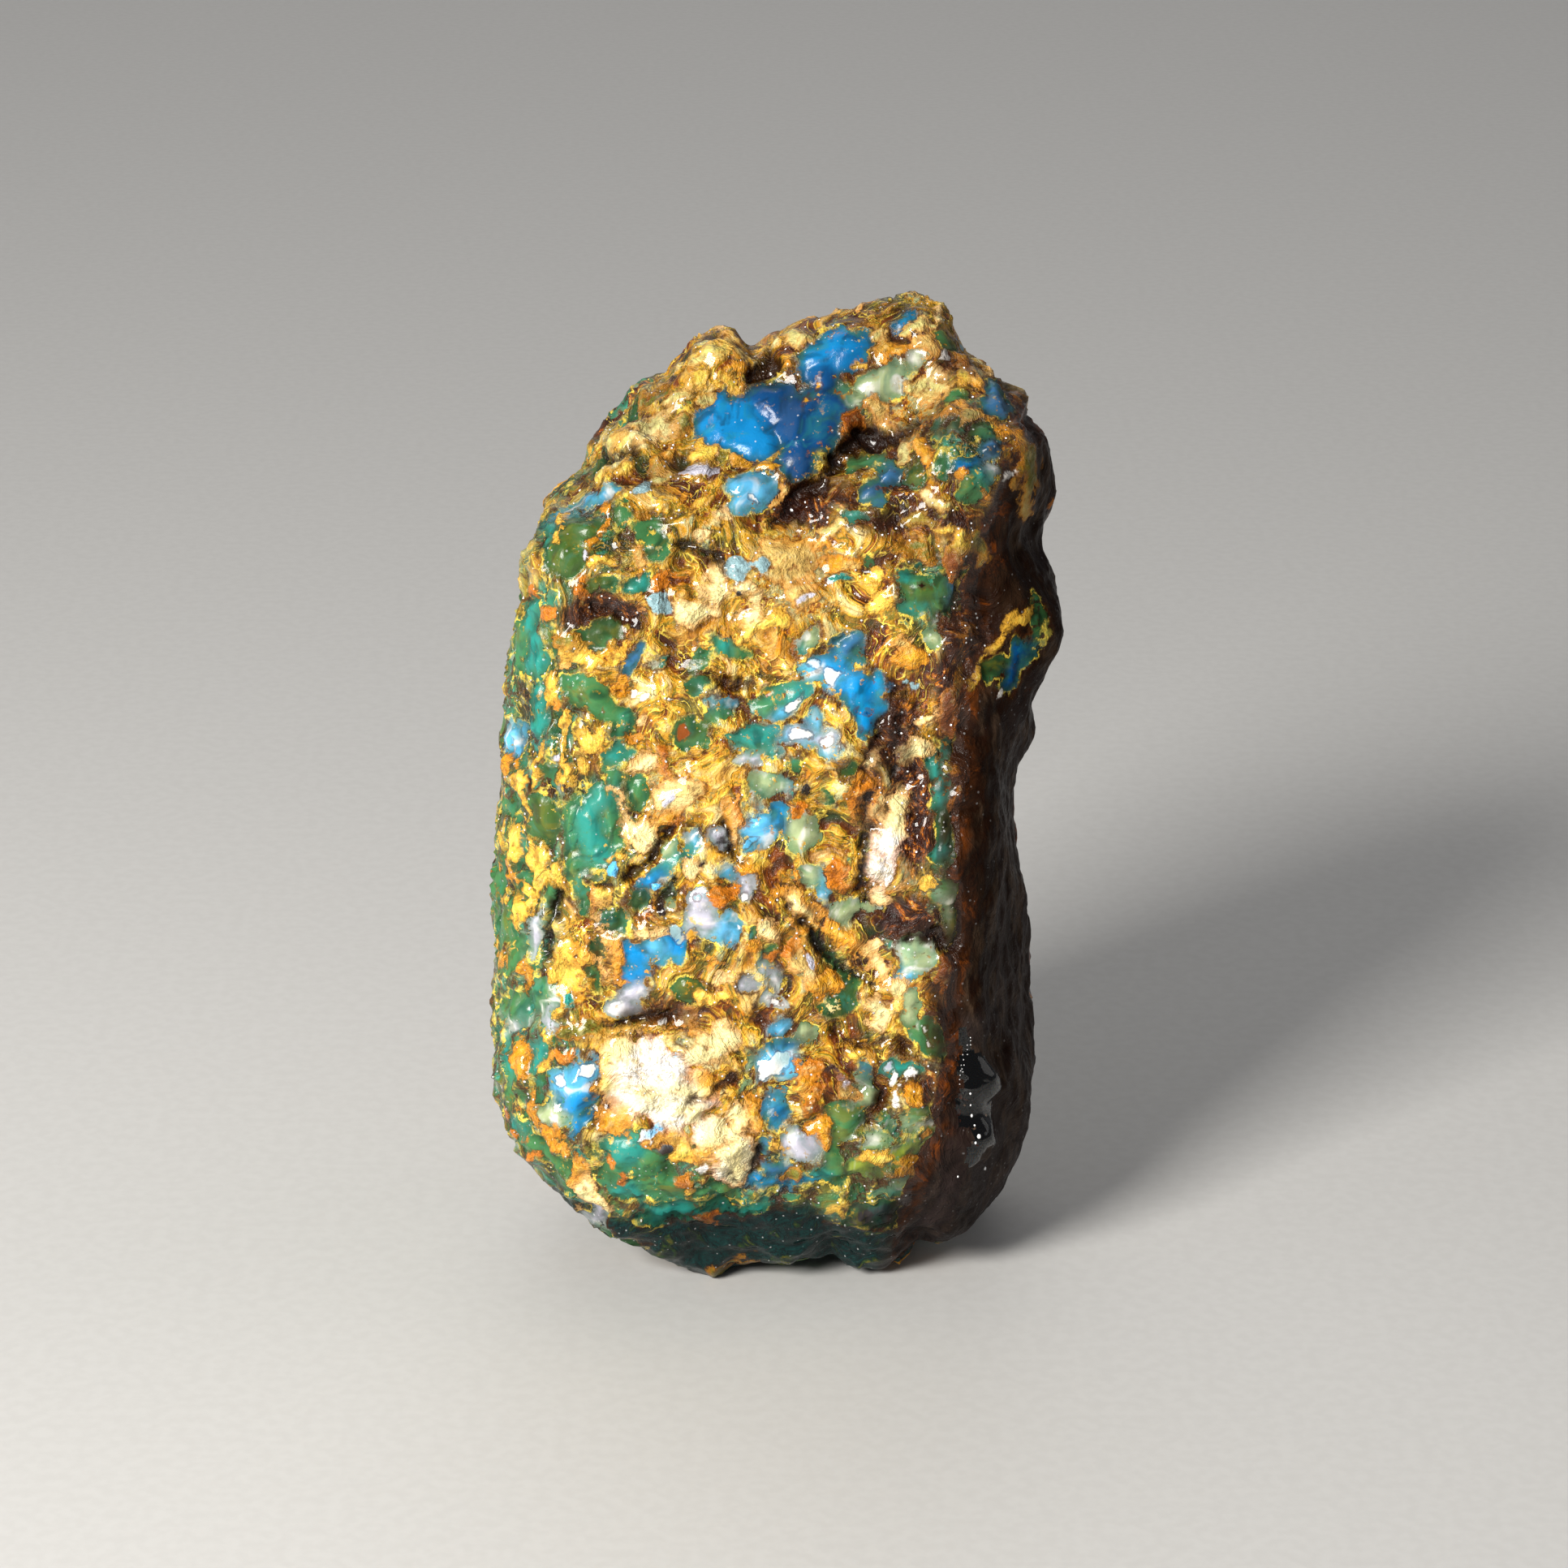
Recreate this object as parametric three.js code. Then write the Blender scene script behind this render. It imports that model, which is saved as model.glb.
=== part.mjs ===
// A rough amber nugget, about 48 mm tall, standing on its smaller end.
// It is one natural piece, so it is one closed solid: a block bounded by its worn faces, with
// rounded edges, lumps, hollows, grooves and a few flattened feet that it rests on.
// Millimetres. +Z is up, -Y is the broad front face, +X is the smooth dark flank.
// The origin is the middle of the footprint's bounding box, on the surface that it stands on.
import * as THREE from "three";
import { ImprovedNoise } from "three/addons/math/ImprovedNoise.js";
import { mergeVertices } from "three/addons/utils/BufferGeometryUtils.js";

// ---- Driving dimensions ----
const WIDTH = 27; // across the front face, between the two flanks
const DEPTH = 19; // front to back at the thickest level
const HEIGHT = 47.5; // standing height
const LEAN = 0.17; // how far the front face leans back for each millimetre of height
const EDGE_ROUNDING = 0.85; // softness of the edges between the worn faces
const MESH_DETAIL = 18; // splits of each side of the starting icosahedron
const WOBBLE = [
  { length: 7.5, rise: 0.55, start: 9 },
  { length: 3.4, rise: 0.3, start: 5 },
]; // unevenness of the worn faces: how long, how high, and which stretch of the noise it takes

const left = -WIDTH / 2;
const right = WIDTH / 2;
const front = -DEPTH / 2;
const back = DEPTH / 2;
const heart = new THREE.Vector3(0, 0.5, HEIGHT * 0.46); // inside the nugget, seen from all its surface

// ---- The worn faces: a point on each, and the way that it faces ----
const face = (through, facing) => ({
  point: new THREE.Vector3(...through),
  normal: new THREE.Vector3(...facing).normalize(),
});

const faces = [
  face([0, front, 6], [0.02, -1, LEAN]), // broad front
  face([left - 0.1, 0, 18], [-1, 0.05, 0]), // left flank
  face([left - 0.2, 0, 26], [-0.98, 0, 0.19]), // left flank, leaning in above the middle
  face([left + 4.1, front + 1.2, 18], [-0.72, -0.69, 0.1]), // round front left edge
  face([right - 3.4, front, 16], [0.973, -0.23, -0.01]), // dark right flank
  face([right - 0.2, 4.5, 20], [0.92, 0.39, 0]), // right flank, turning to the back
  face([0, back - 0.2, 16], [0.03, 1, 0.01]), // back
  face([left + 1.8, back - 2.5, 18], [-0.68, 0.73, 0.02]), // back left edge
  face([0, front + 5.8, HEIGHT - 8.6], [-0.05, -0.72, 0.69]), // slope above the front
  face([left + 2.5, 0, HEIGHT - 8.9], [-0.71, -0.1, 0.7]), // left shoulder
  face([right + 0.1, 2, HEIGHT - 5.4], [0.8, 0, 0.6]), // right shoulder
  face([3, 4, HEIGHT - 0.5], [-0.22, 0.03, 1]), // crown, rising to the right
  face([2, back - 0.8, HEIGHT - 4.6], [0.1, 0.85, 0.52]), // back of the crown
  face([0, front + 3.4, 0.5], [0.02, -0.86, -0.51]), // undercut below the front
  face([left + 6.1, 0, 0.6], [-0.66, -0.12, -0.74]), // chamfer, bottom left
  face([right - 3.6, 1, 0.6], [0.78, -0.1, -0.62]), // chamfer, bottom right
  face([0, back - 1.5, 1.5], [0, 0.8, -0.6]), // chamfer, bottom back
  face([0, 0, 0.4], [0, 0, -1]), // underside, clear of the surface between the feet
];

// ---- Lumps and hollows: where, how far they reach, and how high they rise (hollows are negative) ----
const lumps = [
  { at: [8, 5, HEIGHT + 0.4], reach: [2.3, 3, 2.2], rise: 1.5 }, // knob on the crown
  { at: [4.6, 3.6, HEIGHT], reach: [3, 2.4, 2], rise: 0.4 }, // ridge that leads to it
  { at: [-3, 2.6, HEIGHT - 1.6], reach: [2.4, 2.4, 2], rise: 1.2 }, // left bump on the crown
  { at: [-0.4, 3.4, HEIGHT - 0.6], reach: [1.2, 2.6, 2], rise: -0.8 }, // dip beside it
  { at: [-1, -0.6, HEIGHT - 5], reach: [4.4, 3, 3.4], rise: -0.9 }, // basin on the slope
  { at: [9.8, -2.6, HEIGHT - 6.3], reach: [2.5, 2.8, 2.6], rise: 1.8 }, // knob, upper right of the front
  { at: [10.9, -4.6, 34.4], reach: [1.2, 2.4, 4], rise: -1.2 }, // recess under that knob
  { at: [12.6, -1.2, 31.8], reach: [1.8, 2.2, 3], rise: 1.5 }, // lump on the right flank
  { at: [13.6, 3.5, 36], reach: [2.6, 4.2, 8.4], rise: 1.4 }, // swelling behind it
  { at: [12.6, 1, 20.4], reach: [2, 5, 4.6], rise: -0.3 }, // long hollow of the right flank
  { at: [11.4, -2.4, 6.6], reach: [2.4, 2.8, 4.6], rise: 1.6 }, // glassy lobe at its foot
  { at: [12.8, 3.5, 10], reach: [2.2, 3.4, 5], rise: 0.7 }, // rim at the back of the flank
  { at: [-11.2, -3.6, 36.6], reach: [1.8, 3.4, 1.7], rise: 0.6 }, // left shoulder ledge
  { at: [-10.4, -1, 39.2], reach: [1.6, 4, 1.3], rise: -0.9 }, // notch above the ledge
  { at: [-13, -2, 14], reach: [2.4, 5, 7], rise: 0.25 }, // fullness of the left flank
  { at: [-4, -8.4, 8.4], reach: [6, 3, 3.4], rise: 0.7 }, // brow above the undercut
  { at: [2.6, -7.2, 28], reach: [3.6, 3, 3], rise: 0.7 }, // swelling of the front, middle
  { at: [-3, -8, 19.5], reach: [4.2, 3, 3.4], rise: 0.5 }, // swelling of the front, lower
  { at: [4.6, -8, 16.6], reach: [2.6, 3, 4], rise: -0.6 }, // sag of the front, lower right
  { at: [-7, -7.4, 28], reach: [2.2, 3, 5], rise: -0.4 }, // long shallow trough, left of the middle
  { at: [3.4, 9, 28], reach: [5, 3, 6], rise: -1.2 }, // scoop in the back
  { at: [-5.5, 9, 15], reach: [4.4, 3, 5], rise: 1.0 }, // swelling of the back
  { at: [5.5, 9, 9], reach: [3.4, 3, 3.6], rise: 0.9 }, // second swelling of the back
];

// ---- Grooves: the way that each runs, its half width and its depth ----
const grooves = [
  { run: [[0, -4.4, 38.6], [2, -3, 40.6], [4.4, -1.4, 42], [7.2, 0.3, 43.8]], width: 1.0, depth: 1.3 },
  { run: [[10.2, -7, 26], [10.2, -7.8, 17], [9.4, -8, 10], [8, -7.6, 4]], width: 0.8, depth: 0.8 },
  { run: [[4.6, -8, 26.4], [6, -8.4, 21], [6, -8.8, 15]], width: 0.9, depth: 0.6 },
];

// ---- Feet: flattened bumps of the underside that carry the nugget ----
const feet = [
  { x: -3.4, y: -5.7, reach: 3 },
  { x: 4.8, y: -3.9, reach: 2.0 },
  { x: 8.2, y: 1.8, reach: 1.9 },
  { x: 4.4, y: 6, reach: 2.0 },
  { x: -6.4, y: 4.4, reach: 2.4 },
];
const FOOT_DROP = 1.7; // how far a foot would reach down if it weren't worn flat at the surface

// ---- Shape rules ----

// How far a point is outside the block, with the edges between its faces rounded.
function outside(p) {
  let sum = 0;
  for (const f of faces) {
    const d = f.normal.dot(p) - f.normal.dot(f.point);
    sum += Math.exp(d / EDGE_ROUNDING);
  }
  return EDGE_ROUNDING * Math.log(sum);
}

// The block's surface in one direction from its heart.
function onBlock(direction) {
  let near = 0;
  let far = HEIGHT;
  const p = new THREE.Vector3();
  for (let i = 0; i < 40; i++) {
    const middle = (near + far) / 2;
    p.copy(heart).addScaledVector(direction, middle);
    if (outside(p) > 0) far = middle;
    else near = middle;
  }
  return p;
}

// The way that the block's rounded surface faces at a point.
function facingAt(p) {
  const sum = new THREE.Vector3();
  for (const f of faces) {
    const d = f.normal.dot(p) - f.normal.dot(f.point);
    sum.addScaledVector(f.normal, Math.exp(d / EDGE_ROUNDING));
  }
  return sum.normalize();
}

// How much a lump is felt at a point: 1 at its middle, falling away smoothly.
function felt(p, at, reach) {
  const dx = (p.x - at[0]) / reach[0];
  const dy = (p.y - at[1]) / reach[1];
  const dz = (p.z - at[2]) / reach[2];
  return Math.exp(-(dx * dx + dy * dy + dz * dz));
}

// The distance from a point to a line that runs through several points.
function distanceToRun(p, run) {
  let least = Infinity;
  const onLine = new THREE.Vector3();
  for (let i = 1; i < run.length; i++) {
    const stretch = new THREE.Line3(new THREE.Vector3(...run[i - 1]), new THREE.Vector3(...run[i]));
    stretch.closestPointToPoint(p, true, onLine);
    least = Math.min(least, onLine.distanceTo(p));
  }
  return least;
}

const noise = new ImprovedNoise();

function rise(p) {
  let total = 0;
  for (const w of WOBBLE) {
    total += w.rise * noise.noise(p.x / w.length + w.start, p.y / w.length, p.z / w.length);
  }
  for (const l of lumps) total += l.rise * felt(p, l.at, l.reach);
  for (const g of grooves) {
    const across = distanceToRun(p, g.run) / g.width;
    total -= g.depth * Math.exp(-across * across);
  }
  return total;
}

function footDrop(p) {
  let drop = 0;
  for (const f of feet) drop = Math.max(drop, felt(p, [f.x, f.y, 0], [f.reach, f.reach, 2]));
  return FOOT_DROP * drop;
}

// ---- The nugget ----
function nugget() {
  const geometry = new THREE.IcosahedronGeometry(1, MESH_DETAIL);
  geometry.deleteAttribute("normal");
  geometry.deleteAttribute("uv");
  const closed = mergeVertices(geometry, 1e-4);
  closed.scale(WIDTH / 2, DEPTH / 2, HEIGHT / 2); // spreads the points evenly over a long block
  const at = closed.attributes.position;
  const p = new THREE.Vector3();
  for (let i = 0; i < at.count; i++) {
    const surface = onBlock(p.fromBufferAttribute(at, i).normalize());
    surface.addScaledVector(facingAt(surface), rise(surface));
    surface.z = Math.max(0, surface.z - footDrop(surface));
    at.setXYZ(i, surface.x, surface.y, surface.z);
  }
  closed.computeBoundingBox();
  const box = closed.boundingBox;
  closed.translate(-(box.min.x + box.max.x) / 2, -(box.min.y + box.max.y) / 2, -box.min.z);
  closed.computeVertexNormals();
  return closed;
}

const amber = new THREE.MeshStandardMaterial({ color: 0xb07a2c, roughness: 0.35, metalness: 0 });
const body = new THREE.Mesh(nugget(), amber);
body.name = "amber_nugget";

const specimen = new THREE.Group();
specimen.name = "rough_amber_specimen";
specimen.add(body);

export default specimen;
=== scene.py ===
# %% [markdown]
# # A rough amber specimen
# Amber is resin from old trees that has turned to stone. This block is about as tall as a matchbox. A
# weathered crust of gold, rust and cream grows over it, and between the crust's flakes the bare resin shows
# as glassy blue and green windows. One flank has no crust: it is smooth, dark and smoky. The packed model
# gives the block itself at its true size. This file gives it a skin: first the fine shape of the crust,
# then its colours, then what is sealed in the clear resin, and last a floor and a light.

# %% Load the frame and the helpers
import math

import bmesh
import bpy
import numpy as np
from mathutils import Matrix, Vector, noise


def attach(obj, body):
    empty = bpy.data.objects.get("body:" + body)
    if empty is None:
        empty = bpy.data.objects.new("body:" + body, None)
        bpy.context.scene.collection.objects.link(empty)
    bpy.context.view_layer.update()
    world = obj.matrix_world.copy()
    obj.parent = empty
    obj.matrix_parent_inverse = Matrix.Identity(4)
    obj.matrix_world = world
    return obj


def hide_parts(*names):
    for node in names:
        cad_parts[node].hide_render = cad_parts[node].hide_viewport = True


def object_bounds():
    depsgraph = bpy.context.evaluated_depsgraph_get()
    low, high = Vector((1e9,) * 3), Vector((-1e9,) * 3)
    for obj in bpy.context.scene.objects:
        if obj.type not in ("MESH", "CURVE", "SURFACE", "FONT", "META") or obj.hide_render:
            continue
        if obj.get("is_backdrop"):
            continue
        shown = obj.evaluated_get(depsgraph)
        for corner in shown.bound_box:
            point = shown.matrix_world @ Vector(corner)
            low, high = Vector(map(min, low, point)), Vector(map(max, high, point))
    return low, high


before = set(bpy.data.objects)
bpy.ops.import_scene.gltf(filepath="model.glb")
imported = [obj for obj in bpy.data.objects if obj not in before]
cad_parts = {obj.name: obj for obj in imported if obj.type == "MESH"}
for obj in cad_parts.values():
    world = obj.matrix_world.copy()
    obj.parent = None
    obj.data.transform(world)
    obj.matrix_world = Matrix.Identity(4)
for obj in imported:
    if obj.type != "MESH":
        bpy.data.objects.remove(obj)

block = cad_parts["amber_nugget"]
block_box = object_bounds()
MM = 0.001  # one millimetre, in the scene's metres
print("block, mm:", [round(side / MM, 1) for side in block_box[1] - block_box[0]])

# %% [markdown]
# ## The view
# The stone is looked at from the front and a little above, through a long lens, as small things usually
# are. The camera comes first because the marks of the crust are placed as they are seen from there: so many
# millimetres to the right of the block's middle and above its foot. That is how a painter would tick them
# off at arm's length. Each place on the surface works out once where it is seen, so the marks stay on the
# stone when it is walked round.

# %% Place the camera
LENS = 110  # mm, a long lens: nearly parallel sight lines
SENSOR = 36  # mm
VIEW_WIDTH = 77.28  # mm of the scene that the view takes in, at the stone
AIM = Vector((0.64, 0.0, 24.0))  # mm, close to the block's middle
LIFT = math.radians(20)  # how far the camera looks down
FOOT_BELOW_AIM = 24.96  # mm, from the aim down to the level that counts as 0 in the view

eye_distance = VIEW_WIDTH * LENS / SENSOR
to_eye = Vector((0, -math.cos(LIFT), math.sin(LIFT)))
eye = AIM + to_eye * eye_distance

camera_data = bpy.data.cameras.new("long_lens")
camera_data.lens = LENS
camera_data.sensor_width = SENSOR
camera = bpy.data.objects.new("camera", camera_data)
camera.location = eye * MM
camera.rotation_euler = (math.pi / 2 - LIFT, 0, 0)
bpy.context.scene.collection.objects.link(camera)
bpy.context.scene.camera = camera


def seen_at(points):
    """Where places on the stone (mm) are seen: mm to the right, and mm above the foot."""
    from_eye = points - np.array(eye)
    forward = from_eye @ -np.array(to_eye)
    upward = from_eye @ np.array((0, math.sin(LIFT), math.cos(LIFT)))
    across = from_eye[:, 0] * eye_distance / forward + AIM.x
    height = upward * eye_distance / forward + FOOT_BELOW_AIM
    return across, height


print("camera stands back", round(eye_distance), "mm")

# %% [markdown]
# ## A finer mesh of the block
# The block from the frame has some 7,000 triangles, each about a millimetre wide. Flakes and bubbles of
# half a millimetre need finer faces. Subdividing alone would keep the long triangles of the coarse mesh, so
# the copy is rounded by subdivision and then remeshed with voxels, which gives even little squares all
# over. Everything here is worked out in millimetres, and the mesh is scaled to metres when it is done.

# %% Remesh a copy of the block
FACE_SIZE = 0.236  # mm, side of one square of the fine mesh
SAME_PLACE = 1e-7  # m: corners of the frame's triangles that lie closer than this are one corner
ROUNDINGS = 2  # times that each coarse face is cut in four
SMOOTHINGS = 4  # passes that take the steps of the voxels away


def mesh_points(mesh):
    """The places of a mesh's vertices, one row each."""
    flat = np.empty(len(mesh.vertices) * 3)
    mesh.vertices.foreach_get("co", flat)
    return flat.reshape(-1, 3)


def mesh_normals(mesh):
    """The way that the surface faces at each vertex."""
    flat = np.empty(len(mesh.vertices) * 3)
    mesh.vertex_normals.foreach_get("vector", flat)
    return flat.reshape(-1, 3)


def shaped(thing):
    """The plain mesh of a thing with its modifiers worked in; the thing itself is thrown away."""
    evaluated = thing.evaluated_get(bpy.context.evaluated_depsgraph_get())
    mesh = bpy.data.meshes.new_from_object(evaluated)
    bpy.data.objects.remove(thing)
    return mesh


def fine_block():
    """The block's shape with small even faces, in millimetres."""
    whole = bmesh.new()
    whole.from_mesh(block.data)
    bmesh.ops.remove_doubles(whole, verts=whole.verts, dist=SAME_PLACE)
    bmesh.ops.scale(whole, vec=(1 / MM, 1 / MM, 1 / MM), verts=whole.verts)
    mesh = bpy.data.meshes.new("fine_block")
    whole.to_mesh(mesh)
    whole.free()
    thing = bpy.data.objects.new("fine_block", mesh)
    bpy.context.scene.collection.objects.link(thing)
    rounding = thing.modifiers.new("rounding", "SUBSURF")
    rounding.levels = ROUNDINGS
    rounding.render_levels = ROUNDINGS
    remesh = thing.modifiers.new("even_faces", "REMESH")
    remesh.mode = "VOXEL"
    remesh.voxel_size = FACE_SIZE
    smooth = thing.modifiers.new("smooth", "SMOOTH")
    smooth.factor = 0.5
    smooth.iterations = SMOOTHINGS
    return shaped(thing)


skin = fine_block()
rest = mesh_points(skin)
facing = mesh_normals(skin)
print("fine mesh:", len(skin.polygons), "faces,", len(rest), "vertices")

# %% [markdown]
# ## Colours
# Each colour has a maker's plain name, and is written as it would be mixed on screen. Blender's shaders
# count light evenly, so the values are changed to that scale once, here.

# %% Mix the colours
# The white called air paints the crust's tiny glints, which are painted highlights, and the sealed bubbles.
COLOURS = {
    "air": "#FFFFFF", "milk_highlight": "#F6F1EA", "frost": "#8FB0B6", "lilac": "#C2C0CE", "cream": "#F6E4A0",
    "straw": "#F4D452", "honey": "#E8B03C", "gold": "#D8981E", "tan": "#D8B262", "orange": "#C87414",
    "rust": "#86420C", "brown": "#4A260C", "umber": "#231007", "maroon": "#35140A", "olive": "#706C22",
    "lime": "#8C9C34", "moss": "#2E4A24", "fern": "#42602A", "khaki": "#D6CC7C", "leaf": "#417846",
    "sage": "#A6B484", "sea": "#3F9882", "teal": "#2A8A7E", "sky": "#5CB4E2", "azure": "#0484C6",
    "deep": "#02477E", "slate": "#386C98", "night": "#071F20", "lagoon": "#0B3C3A", "taupe": "#4A382A",
    "smoke": "#2E1F14", "ash": "#443F40",
}


def paint(name):
    """A named colour as red, green, blue and 1, on the shaders' even scale (the usual curve of screens)."""
    code = COLOURS[name].lstrip("#")
    shares = [int(code[i:i + 2], 16) / 255 for i in (0, 2, 4)]
    even = [((share + 0.055) / 1.055) ** 2.4 if share > 0.04 else share / 12.92 for share in shares]
    return (*even, 1.0)


print(len(COLOURS), "colours mixed")
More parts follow.
